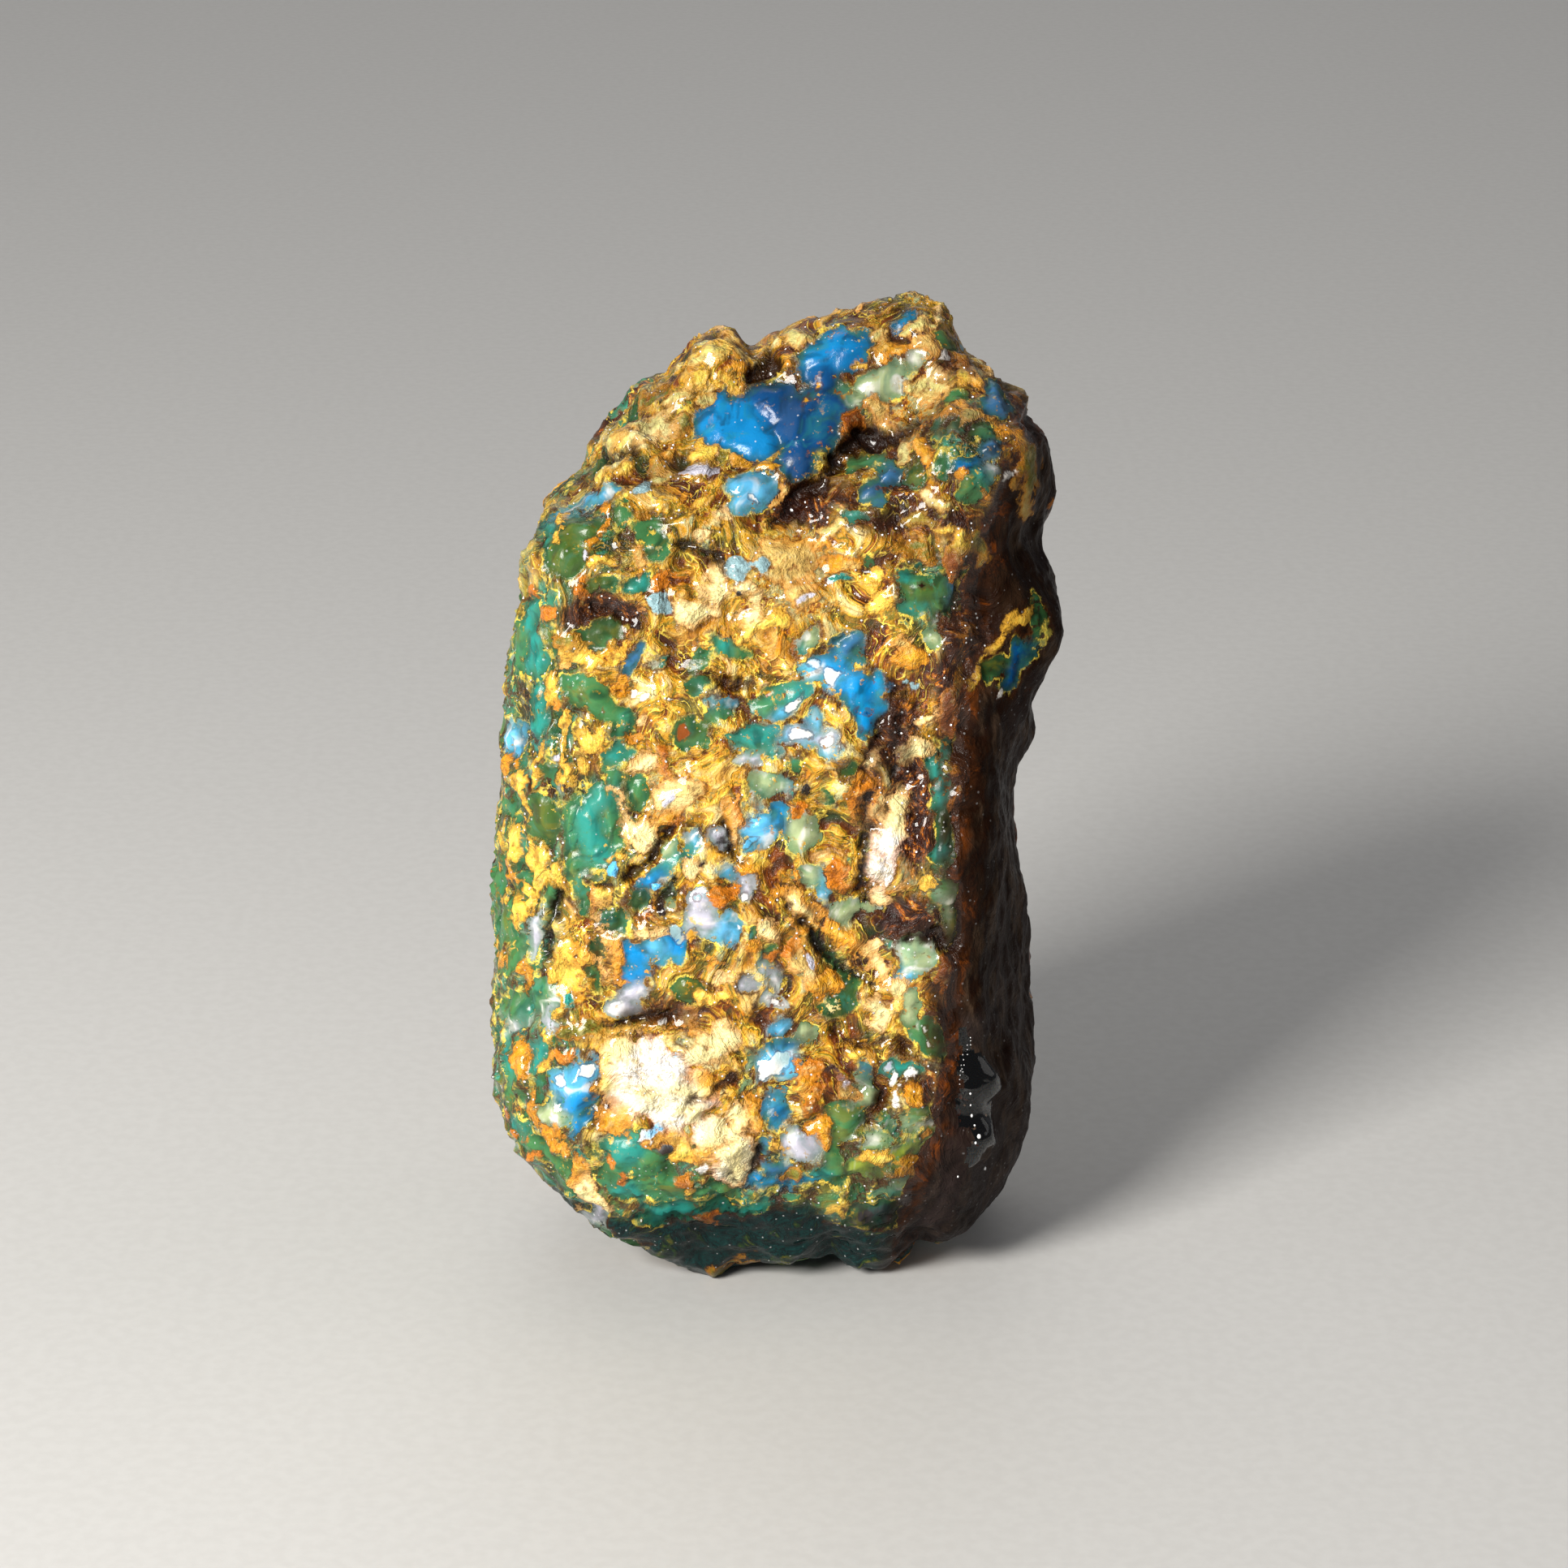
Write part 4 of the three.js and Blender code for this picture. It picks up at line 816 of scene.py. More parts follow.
store("rest", rest, "FLOAT_VECTOR")
store("flow", flow, "FLOAT_VECTOR")
for name, field in (("window", windows), ("plate", plates), ("bead", beads), ("crevice", crevices)):
    store(name, field.inside)
    store(name + "_tint", with_one(field.tints()), "FLOAT_COLOR")
store("ground", np.column_stack([green, crumb, sand, smoke]), "FLOAT_COLOR")
store("shade", shade)
store("dusk", dusk)
store("polish", polish)
store("bulge", bulge)
print(len(skin.attributes), "attributes on the fine mesh")

# %% [markdown]
# ## Short words for nodes
# Node trees are usually wired by hand. Wired in code, each node takes several lines, so this small class
# gives the nodes that the file uses short names. It works in geometry trees and in shader trees, because
# both know the same math, noise and mix nodes. That is what lets one rule shape the crust and colour it.

# %% Make the wiring board
class Board:
    """A node tree, with a short word for each node that is put on it."""

    def __init__(self, tree):
        self.tree = tree

    def put(self, kind, **settings):
        node = self.tree.nodes.new(kind)
        count = len(self.tree.nodes)
        node.location = (count // 9 * 220, -(count % 9) * 190)
        for name, value in settings.items():
            setattr(node, name, value)
        return node

    def feed(self, socket, value):
        """Links a socket to another node's output, or sets it to a plain value."""
        if isinstance(value, bpy.types.NodeSocket):
            self.tree.links.new(value, socket)
        elif value is not None:
            socket.default_value = value

    def feed_all(self, node, **values):
        """Feeds sockets by their names, with _ for each space."""
        for name, value in values.items():
            self.feed(node.inputs[name.replace("_", " ")], value)
        return node

    def math(self, operation, *values):
        node = self.put("ShaderNodeMath", operation=operation)
        for socket, value in zip(node.inputs, values):
            self.feed(socket, value)
        return node.outputs[0]

    def most(self, first, *others):
        for other in others:
            first = self.math("MAXIMUM", first, other)
        return first

    def least(self, first, *others):
        for other in others:
            first = self.math("MINIMUM", first, other)
        return first

    def times(self, *values):
        product = values[0]
        for value in values[1:]:
            product = self.math("MULTIPLY", product, value)
        return product

    def plus(self, *values):
        total = values[0]
        for value in values[1:]:
            total = self.math("ADD", total, value)
        return total

    def lift(self, value, scale, offset):
        """The value times the scale, plus the offset."""
        return self.math("MULTIPLY_ADD", value, scale, offset)

    def shift(self, place, far):
        """A place moved as far along all three axes, so that a noise read there is another noise."""
        node = self.put("ShaderNodeVectorMath", operation="ADD")
        self.feed(node.inputs[0], place)
        self.feed(node.inputs[1], (far, far, far))
        return node.outputs["Vector"]

    def stretch(self, place, scales):
        node = self.put("ShaderNodeVectorMath", operation="MULTIPLY")
        self.feed(node.inputs[0], place)
        self.feed(node.inputs[1], scales)
        return node.outputs["Vector"]

    def noise(self, place, scale, detail=2.0, roughness=0.5):
        node = self.put("ShaderNodeTexNoise")
        self.feed_all(node, Vector=place, Scale=scale, Detail=detail, Roughness=roughness)
        return node.outputs[0]

    def cells(self, place, scale, output):
        """Cells like those of a honeycomb gone wild; the output says what is read from them."""
        node = self.put("ShaderNodeTexVoronoi", feature="F1")
        self.feed_all(node, Vector=place, Scale=scale)
        return node.outputs[output]

    def part_of(self, value, which):
        """One of the three numbers of a colour or a place."""
        node = self.put("ShaderNodeSeparateXYZ")
        self.feed(node.inputs[0], value)
        return node.outputs[which]

    def rise(self, value, low, high, to_low=0.0, to_high=1.0):
        """A smooth rise from to_low, where the value is low, to to_high, where it is high."""
        node = self.put("ShaderNodeMapRange", interpolation_type="SMOOTHSTEP")
        for socket, given in zip(node.inputs, (value, low, high, to_low, to_high)):
            self.feed(socket, given)
        return node.outputs[0]

    def band(self, value, middle, half_width):
        """1 where the value is at the middle, and 0 half a width away."""
        off = self.math("ABSOLUTE", self.plus(value, -middle))
        return self.rise(off, 0.0, half_width, 1.0, 0.0)

    def ramp(self, value, stops):
        """A colour scale; stops are a place from 0 to 1 and a colour's name."""
        node = self.put("ShaderNodeValToRGB")
        self.feed(node.inputs[0], value)
        elements = node.color_ramp.elements
        while len(elements) < len(stops):
            elements.new(0.5)
        for element, (place, name) in zip(elements, stops):
            element.position = place
            element.color = paint(name)
        return node.outputs[0]

    def mix(self, share, first, second):
        """Two colours mixed; colours may be given by name."""
        node = self.put("ShaderNodeMix", data_type="RGBA")
        self.feed(node.inputs[0], share)
        for socket, colour in ((node.inputs[6], first), (node.inputs[7], second)):
            self.feed(socket, paint(colour) if isinstance(colour, str) else colour)
        return node.outputs[2]

    def blend(self, share, first, second):
        """Two numbers mixed."""
        node = self.put("ShaderNodeMix", data_type="FLOAT")
        for socket, value in zip((node.inputs[0], node.inputs[2], node.inputs[3]), (share, first, second)):
            self.feed(socket, value)
        return node.outputs[0]


def group_tree(kind, name, inputs, outputs):
    """A node group of a kind, with named inputs (name, socket, start value) and outputs (name, socket)."""
    tree = bpy.data.node_groups.new(name, kind)
    for title, socket, start in inputs:
        item = tree.interface.new_socket(title, in_out="INPUT", socket_type=socket)
        if start is not None:
            item.default_value = start
    for title, socket in outputs:
        tree.interface.new_socket(title, in_out="OUTPUT", socket_type=socket)
    board = Board(tree)
    return board, board.put("NodeGroupInput").outputs, board.put("NodeGroupOutput").inputs


print("the board knows", sum(callable(getattr(Board, word)) for word in vars(Board)), "words")

# %% [markdown]
# ## The rule of the crust
# Amber crust is a network of flakes that cracked, curled and were filled with resin again. The rule copies
# that. Two slow noises, read at places that were pushed about first, so that nothing runs straight, decide
# where the crust makes flakes and small windows of its own, and the listed marks are joined to them. A
# rougher noise frays every outline. Out come the fields that say what is where, and the height of the crust
# there. The same rule is built twice: as a geometry group, where the height shapes the mesh, and as a
# shader group, where the fields draw the colours. So each rim of colour sits on its own raised edge.

# %% Say what is where
FLOAT, VECTOR = "NodeSocketFloat", "NodeSocketVector"
RULE_INPUTS = [
    ("Place", VECTOR, None), ("Flow", VECTOR, None), ("Window", FLOAT, 0.0), ("Plate", FLOAT, 0.0),
    ("Bead", FLOAT, 0.0), ("Crevice", FLOAT, 0.0), ("Calm", FLOAT, 0.0), ("Open", FLOAT, 0.0),
    ("Fineness", FLOAT, 1.0),
]
RULE_OUTPUTS = [
    ("Window", FLOAT), ("Plate", FLOAT), ("Bead", FLOAT), ("Crevice", FLOAT), ("Bed", FLOAT),
    ("Fold", FLOAT), ("Own plate", FLOAT), ("Own window", FLOAT), ("Height", FLOAT),
]


def rule_fields(board, given):
    """How deep a place is inside each kind of mark, and where it lies in the folds of the bed."""
    place, flow = given["Place"], given["Flow"]
    detail = board.lift(given["Fineness"], 3.5, 0.5)
    fray = board.lift(board.noise(place, 1.3, detail, 0.66), 2.0, -1.0)
    other_place = board.shift(place, 31.0)
    other_flow = board.shift(flow, 17.0)
    other_fray = board.lift(board.noise(other_place, 1.5, detail, 0.66), 2.0, -1.0)

    # marks of the crust's own, from slow noise: fewer where the ground is calm
    calm = board.times(given["Calm"], -3.0)
    own_plate = board.lift(board.noise(other_flow, 0.5, detail, 0.62), 3.2, -2.1)
    own_plate = board.plus(own_plate, calm, board.times(given["Open"], -0.25))
    own_window = board.lift(board.noise(other_place, 0.55, detail, 0.62), 3.4, -2.4)
    own_window = board.plus(own_window, calm, board.times(given["Open"], 0.55))

    # the listed marks, frayed; the crust's own marks keep clear of them
    window = board.plus(given["Window"], board.times(fray, 0.58), 0.04)
    plate = board.plus(given["Plate"], board.times(other_fray, 0.6))
    off_window, off_plate = board.lift(window, -1.0, -0.18), board.lift(plate, -1.0, -0.1)
    own_plate = board.least(own_plate, off_window, off_plate)
    own_window = board.least(own_window, off_plate, board.lift(window, -1.0, -0.3))
    return {
        "Window": board.most(window, own_window),
        "Plate": board.most(plate, own_plate),
        "Bead": board.plus(given["Bead"], board.times(fray, 0.34)),
        "Crevice": board.plus(given["Crevice"], board.times(other_fray, 0.6)),
        "Bed": board.rise(board.noise(flow, 0.5, detail, 0.55), 0.3, 0.7),
        "Fold": board.plus(board.noise(flow, 0.9, 2.0, 0.5), -0.5),
        "Own plate": own_plate,
        "Own window": own_window,
    }


print("the rule takes", len(RULE_INPUTS), "values and gives", len(RULE_OUTPUTS))

# %% Turn that into a height, and join both into a group
def rule_height(board, given, fields):
    """How far the crust stands out, in mm: flakes and beads up, crevices down, windows gently domed."""
    window, plate = fields["Window"], fields["Plate"]
    covered = board.rise(board.most(plate, fields["Bead"]), -0.05, 0.08)
    in_window = board.times(board.rise(window, -0.06, 0.06), board.lift(covered, -1.0, 1.0))
    smooth = board.times(in_window, board.rise(given["Window"], 0.0, 0.6))
    lumps = board.lift(board.noise(given["Place"], 0.42, 2.0), 1.1, -0.7)
    lumps = board.times(lumps, board.lift(smooth, -0.9, 1.0))
    folds = board.times(board.band(fields["Fold"], 0.0, 0.05), 0.07)
    ground = board.plus(board.lift(fields["Bed"], 0.3, -0.15), folds)
    ground = board.times(ground, board.lift(in_window, -0.8, 1.0), board.lift(given["Calm"], -0.5, 1.0))
    return board.plus(
        ground,
        lumps,
        board.times(board.rise(plate, -0.08, 0.08), 0.08),
        board.times(board.rise(plate, 0.1, 1.2), 0.2),
        board.times(in_window, board.lift(board.rise(given["Window"], -0.1, 1.4), 0.26, -0.1)),
        board.times(board.band(window, -0.08, 0.14), 0.05),
        board.times(board.rise(fields["Bead"], -0.04, 0.3), 0.12),
        board.times(board.rise(fields["Crevice"], -0.3, 0.4), -0.55),
    )


def crust_rule(kind):
    """The rule as a node group of one kind of tree."""
    board, given, result = group_tree(kind, "Crust rule", RULE_INPUTS, RULE_OUTPUTS)
    fields = rule_fields(board, given)
    fields["Height"] = rule_height(board, given, fields)
    for title, value in fields.items():
        board.feed(result[title], value)
    return board.tree


shape_rule = crust_rule("GeometryNodeTree")
colour_rule = crust_rule("ShaderNodeTree")
print("the rule has", len(shape_rule.nodes), "nodes in each kind of tree")

# %% [markdown]
# ## Shape the crust
# The fine mesh is pushed out and in by the rule's height, along the way that each place faces. A Geometry
# Nodes modifier does it. Its result is made a plain mesh at once, so nothing live is left behind.

# %% Wire the tree that moves the surface
GEOMETRY = "NodeSocketGeometry"
RELIEF_DEPTH = 1.0  # the rule's height as it is
EDGE_FINENESS = 0.35  # the mesh can't follow the finest fraying, so its outlines have less of it
SHADE_CALM = 0.6  # how far the shaded underside is calmed


def read(board, name, kind="FLOAT"):
    """A value that the mesh keeps at each vertex."""
    node = board.put("GeometryNodeInputNamedAttribute", data_type=kind)
    node.inputs["Name"].default_value = name
    return node.outputs["Attribute"]


def relief_height(board, given):
    """The rule's height at each vertex, less on the smoky flank and on the bare resin, plus the bulge."""
    split = board.put("FunctionNodeSeparateColor")
    board.feed(split.inputs[0], read(board, "ground", "FLOAT_COLOR"))
    smoky, sand, green = split.outputs["Alpha"], split.outputs["Blue"], split.outputs["Red"]
    rule = board.put("GeometryNodeGroup", node_tree=shape_rule)
    board.feed_all(
        rule,
        Place=read(board, "rest", "FLOAT_VECTOR"),
        Flow=read(board, "flow", "FLOAT_VECTOR"),
        Window=read(board, "window"),
        Plate=read(board, "plate"),
        Bead=read(board, "bead"),
        Crevice=read(board, "crevice"),
        Calm=board.most(smoky, sand, board.times(read(board, "shade"), SHADE_CALM)),
        Open=green,
        Fineness=given["Fine edges"],
    )
    height = board.times(rule.outputs["Height"], given["Depth of relief"])
    height = board.times(height, board.lift(smoky, -0.45, 1.0), board.lift(read(board, "polish"), -0.95, 1.0))
    return board.plus(height, read(board, "bulge"))


def relief_tree(material):
    """The geometry tree that moves each vertex along the way it faces."""
    inputs = [
        ("Geometry", GEOMETRY, None), ("Depth of relief", FLOAT, RELIEF_DEPTH),
        ("Fine edges", FLOAT, EDGE_FINENESS),
    ]
    board, given, result = group_tree("GeometryNodeTree", "Crust relief", inputs, [("Geometry", GEOMETRY)])
    offset = board.put("ShaderNodeVectorMath", operation="SCALE")
    board.feed(offset.inputs[0], board.put("GeometryNodeInputNormal").outputs[0])
    board.feed(offset.inputs["Scale"], relief_height(board, given))
    move = board.put("GeometryNodeSetPosition")
    board.feed_all(move, Geometry=given["Geometry"], Offset=offset.outputs[0])
    realize = board.put("GeometryNodeRealizeInstances")
    board.feed(realize.inputs[0], move.outputs[0])
    finish = board.put("GeometryNodeSetMaterial")
    board.feed(finish.inputs["Geometry"], realize.outputs[0])
    finish.inputs["Material"].default_value = material
    board.feed(result["Geometry"], finish.outputs[0])
    return board.tree


def set_input(modifier, name, value):
    """Sets a modifier's input by the identifier of the socket that has this name."""
    for item in modifier.node_group.interface.items_tree:
        if item.item_type == "SOCKET" and item.in_out == "INPUT" and item.name == name:
            modifier[item.identifier] = value


print("sockets can be set by name, and the tree is ready to be wired")

# %% Raise the flakes and sink the crevices
crust_finish = bpy.data.materials.new("amber_crust")
thing = bpy.data.objects.new("crust_shape", skin)
bpy.context.scene.collection.objects.link(thing)
relief = thing.modifiers.new("relief", "NODES")
relief.node_group = relief_tree(crust_finish)
set_input(relief, "Depth of relief", RELIEF_DEPTH)
set_input(relief, "Fine edges", EDGE_FINENESS)
skin = shaped(thing)
skin.name = "amber_body"
print("moved", len(skin.vertices), "vertices by the rule")

# %% Settle the stone on its feet
FOOT_WEAR = 0.18  # mm, ground off under the feet so that they stay flat

points = mesh_points(skin)
points[:, 2] = np.maximum(points[:, 2] - points[:, 2].min() - FOOT_WEAR, 0)
skin.vertices.foreach_set("co", (points * MM).ravel())
skin.update()
skin.shade_smooth()
body = bpy.data.objects.new("amber_body", skin)
bpy.context.scene.collection.objects.link(body)
print("crust relief:", len(skin.polygons), "faces; on the floor:", int((points[:, 2] == 0).sum()), "vertices")

# %% [markdown]
# ## The finish of the crust
# The colour is built up as the stone is: first the ground of each kind, then the windows with a painted
# shadow beside them and golden rims that are partly painted highlight, then the flakes with a painted shadow
# line under their edges, then beads and crevices, painted light and shade, and tiny white glints that are
# painted highlights.
# All but the worn flank has the wet gloss of polished resin: a thin clear coat lies over a base whose own
# roughness changes from glassy windows to dull sand.

# %% Read the fields in a material
def surface_value(board, name):
    return board.put("ShaderNodeAttribute", attribute_name=name).outputs["Fac"]


def surface_colour(board, name):
    return board.put("ShaderNodeAttribute", attribute_name=name).outputs["Color"]


def surface_place(board, name):
    return board.put("ShaderNodeAttribute", attribute_name=name).outputs["Vector"]


def start_material(material):
    """An empty material with its Principled shader and its output."""
    material.use_nodes = True
    material.node_tree.nodes.clear()
    board = Board(material.node_tree)
    shader = board.put("ShaderNodeBsdfPrincipled")
    output = board.put("ShaderNodeOutputMaterial")
    material.node_tree.links.new(shader.outputs[0], output.inputs["Surface"])
    return board, shader, output


def read_here(board):
    """All that a material reads at one place: the kinds of ground and the rule's fields, by name."""
    kinds = board.put("ShaderNodeAttribute", attribute_name="ground")
    split = board.put("ShaderNodeSeparateColor")
    board.feed(split.inputs[0], kinds.outputs["Color"])
    green, crumb, sand = split.outputs
    here = {"green": green, "crumb": crumb, "sand": sand, "smoky": kinds.outputs["Alpha"]}
    here["shade"] = surface_value(board, "shade")
    here["dusk"] = surface_value(board, "dusk")
    here["Place"] = surface_place(board, "rest")
    here["Flow"] = surface_place(board, "flow")
    group = board.put("ShaderNodeGroup", node_tree=colour_rule)
    board.feed_all(
        group,
        Place=here["Place"],
        Flow=here["Flow"],
        Window=surface_value(board, "window"),
        Plate=surface_value(board, "plate"),
        Bead=surface_value(board, "bead"),
        Crevice=surface_value(board, "crevice"),
        Calm=board.most(here["smoky"], sand, board.times(here["shade"], SHADE_CALM)),
        Open=green,
        Fineness=1.0,
    )
    here["rims"] = board.rise(board.noise(here["Place"], 0.9, 2.0), 0.42, 0.58)  # where rims get a painted highlight, and where a painted shadow
    return {**here, **group.outputs}


print("the mesh carries", len(skin.attributes), "attributes, and most of them are read by its materials")

# %% Colour each kind of ground
THREAD = 0.024  # half the width of the bright threads, on the scale of the fold noise


def gold_ground(board, here):
    """Warm crust: rust in its hollows, gold on its slopes and cream on its tops, with thin bright threads."""
    bed, place, flow = here["Bed"], here["Place"], here["Flow"]
    crust = board.ramp(bed, [
        (0.0, "brown"), (0.2, "rust"), (0.36, "gold"), (0.46, "olive"), (0.54, "gold"), (0.66, "honey"),
        (0.8, "tan"), (1.0, "cream"),
    ])
    hollow = board.rise(board.noise(flow, 0.3, 3.0, 0.6), 0.5, 0.62, 0.0, 0.7)
    rusty = board.ramp(bed, [(0.1, "umber"), (0.45, "brown"), (0.6, "rust"), (0.9, "gold")])
    crust = board.mix(hollow, crust, rusty)
    stain = board.rise(board.noise(place, 0.36, 3.0, 0.6), 0.5, 0.64, 0.0, 0.85)
    mossy = board.ramp(bed, [(0.1, "moss"), (0.45, "olive"), (0.7, "gold"), (0.9, "sage")])
    crust = board.mix(stain, crust, mossy)
    threads = board.rise(board.noise(place, 0.5, 1.0), 0.4, 0.52)
    threads = board.times(board.band(here["Fold"], 0.0, THREAD), threads)
    other = board.noise(board.shift(flow, 43.0), 0.7, 2.0)
    cracks = board.rise(board.noise(place, 0.6, 1.0), 0.55, 0.42)
    cracks = board.times(board.band(other, 0.5, 0.022), cracks)
    return board.mix(threads, board.mix(board.times(cracks, 0.85), crust, "umber"), "straw")


def green_ground(board, here):
    """Thin crust with the green resin shining through."""
    resin = board.ramp(board.rise(board.noise(here["Flow"], 0.28, 3.0, 0.6), 0.3, 0.7), [
        (0.0, "moss"), (0.25, "leaf"), (0.42, "sea"), (0.55, "leaf"), (0.7, "olive"), (0.85, "leaf"),
        (1.0, "teal"),
    ])
    ground = board.mix(board.rise(here["Bed"], 0.4, 0.1, 0.0, 0.7), resin, "umber")
    ground = board.mix(board.rise(here["Bed"], 0.8, 0.97, 0.0, 0.8), ground, "honey")
    return board.mix(board.times(board.band(here["Fold"], 0.0, THREAD), 0.6), ground, "honey")


def crumb_ground(board, here):
    """Brown crumb that fills the hollows."""
    speckle = board.rise(board.noise(here["Flow"], 1.6, 4.0, 0.7), 0.34, 0.68)
    return board.ramp(speckle, [
        (0.0, "umber"), (0.3, "maroon"), (0.55, "brown"), (0.75, "rust"), (0.9, "orange"), (1.0, "tan"),
    ])


def sand_ground(board, here):
    """Pale sand stuck to the resin."""
    grain = board.rise(board.noise(here["Place"], 2.0, 4.0, 0.7), 0.3, 0.7)
    return board.ramp(grain, [
        (0.0, "brown"), (0.22, "rust"), (0.42, "gold"), (0.58, "tan"), (0.74, "sage"), (0.88, "tan"),
        (1.0, "cream"),
    ])


def smoke_and_shade_ground(board, here):
    """The smooth dark skin of the bare flank, with brown and ochre streaks; its darkness is partly its own
    colour and partly painted shade.
    """
    streak = board.noise(board.stretch(here["Place"], (1.0, 1.0, 0.4)), 0.8, 4.0, 0.6)
    ground = board.ramp(board.rise(streak, 0.3, 0.7), [
        (0.0, "smoke"), (0.4, "umber"), (0.6, "smoke"), (0.85, "taupe"), (1.0, "smoke"),
    ])
    cloudy = board.rise(board.noise(here["Place"], 0.24, 1.0), 0.52, 0.68, 0.0, 0.35)
    low = board.rise(board.part_of(here["Place"], 2), 13.0, 4.0, 0.0, 0.4)
    return board.mix(board.most(cloudy, low), ground, "ash")


def shade_ground(board, here):
    """Dark teal resin of the underside, with rusty patches, its colours darkened as painted shade."""
    return board.ramp(here["Bed"], [
        (0.0, "night"), (0.3, "lagoon"), (0.5, "night"), (0.64, "lagoon"), (0.8, "night"), (0.92, "moss"),
        (1.0, "olive"),
    ])


GROUND_PAINTS = {"green": green_ground, "crumb": crumb_ground, "sand": sand_ground, "shade": shade_ground}


def ground_colour(board, here):
    """Gold crust, with each other kind of ground laid over it by its share, and the smoky flank last."""
    colour = gold_ground(board, here)
    for name, paints in GROUND_PAINTS.items():
        colour = board.mix(here[name], colour, paints(board, here))
    band = board.ramp(here["Bed"], [
        (0.2, "umber"), (0.5, "brown"), (0.65, "umber"), (0.85, "rust"), (1.0, "brown"),
    ])
    colour = board.mix(board.rise(here["smoky"], 0.0, 0.14), colour, band)
    return board.mix(board.rise(here["smoky"], 0.45, 0.95), colour, smoke_and_shade_ground(board, here))


print(len(GROUND_PAINTS) + 2, "kinds of ground have their colours")

# %% [markdown]
# ## Lay the finish in steps
# Each step takes the colour so far and lays its own on top. The steps share their notes in a dictionary
# called here: it holds what is known of one place, such as how far a window is open there or how mottled a
# flake is, and each step adds what the later ones need.

# %% Lay the windows
OWN_SLACK = -0.001  # keeps the choice between a listed mark and one of the crust's own from flickering


def window_tint(board, here):
    """The colour of the resin: drifting to teal or olive, with a painted milky sheen in the pale windows,
    murky elsewhere.
    """
    own = board.math("GREATER_THAN", here["Own window"], board.plus(here["Window"], OWN_SLACK))
    small_tints = board.ramp(board.noise(here["Place"], 0.4, 1.0), [
        (0.3, "olive"), (0.4, "moss"), (0.47, "leaf"), (0.53, "sea"), (0.6, "sage"), (0.66, "teal"),
    ])
    tint = board.mix(own, surface_colour(board, "window_tint"), small_tints)
    paleness = board.rise(board.part_of(tint, 0), 0.05, 0.1)
    here["paleness"] = paleness

    drift = board.noise(board.shift(here["Flow"], 9.0), 0.5, 3.0, 0.6)
    only_greens = board.rise(board.part_of(tint, 2), 0.24, 0.1)
    mossy = board.times(board.rise(drift, 0.48, 0.36, 0.0, 0.6), only_greens)
    tint = board.mix(board.rise(drift, 0.52, 0.68, 0.0, 0.35), board.mix(mossy, tint, "olive"), "teal")
    cloud = board.noise(here["Flow"], 0.7, 2.0, 0.5)
    # painted sheen: pale windows are whitened in milky patches, as where they catch the light
    milky_sheen = board.times(board.rise(cloud, 0.5, 0.68), board.times(paleness, 0.85))
    tint = board.mix(milky_sheen, tint, board.mix(0.85, tint, "milk_highlight"))
    murky = board.times(board.rise(cloud, 0.5, 0.32, 0.0, 0.8), board.lift(paleness, -0.6, 1.0))
    return board.mix(murky, tint, board.mix(0.75, tint, "night"))


def lay_windows(board, here, colour):
    """Windows: green and dim at the margin, deep in the middle, with a brown band of painted shadow round
    them and a thin straw rim that is partly gold crust and partly painted highlight.
    """
    window, rims = here["Window"], here["rims"]
    tint = window_tint(board, here)
    margin = board.mix(0.55, tint, board.mix(rims, "moss", "leaf"))
    pane = board.mix(board.rise(window, 0.0, 0.5), margin, tint)
    softness = board.rise(board.noise(here["Flow"], 0.8, 1.0), 0.35, 0.65, 0.04, 0.3)
    opening = board.rise(board.math("DIVIDE", window, softness), -1.0, 0.4)
    here["opening"] = opening

    # painted shadow: a brown band along the window's edge, where the rims noise is low
    sunk_shade = board.times(board.band(window, -0.16, 0.26), board.lift(rims, -0.7, 0.9))
    colour = board.mix(sunk_shade, colour, "brown")
    # the straw rim is partly gold crust and partly painted highlight, where the rims noise is high
    rim_width = board.rise(board.noise(here["Place"], 2.1, 2.0), 0.35, 0.7, 0.0, 0.22)
    colour = board.mix(board.times(board.band(window, -0.1, rim_width), rims), colour, "straw")
    flecks = board.rise(board.noise(here["Place"], 1.9, 4.0, 0.68), 0.59, 0.63)
    flecks = board.times(flecks, board.rise(window, 0.9, 0.1, 0.15, 0.9))
    return board.mix(board.times(opening, board.lift(flecks, -1.0, 1.0)), colour, pane)


print("first step: windows over the ground")

# %% Lay the flakes
def flake_tint(board, here):
    """The colour of a flake before it is stained: its own, or a small flake's by slow noise."""
    own = board.math("GREATER_THAN", here["Own plate"], board.plus(here["Plate"], OWN_SLACK))
    small_tints = board.ramp(board.noise(here["Place"], 0.5, 1.0), [
        (0.32, "orange"), (0.4, "gold"), (0.48, "honey"), (0.55, "tan"), (0.62, "cream"),
    ])
    small_tints = board.mix(board.times(here["crumb"], 0.7), small_tints, "rust")
    return board.mix(own, surface_colour(board, "plate_tint"), small_tints)


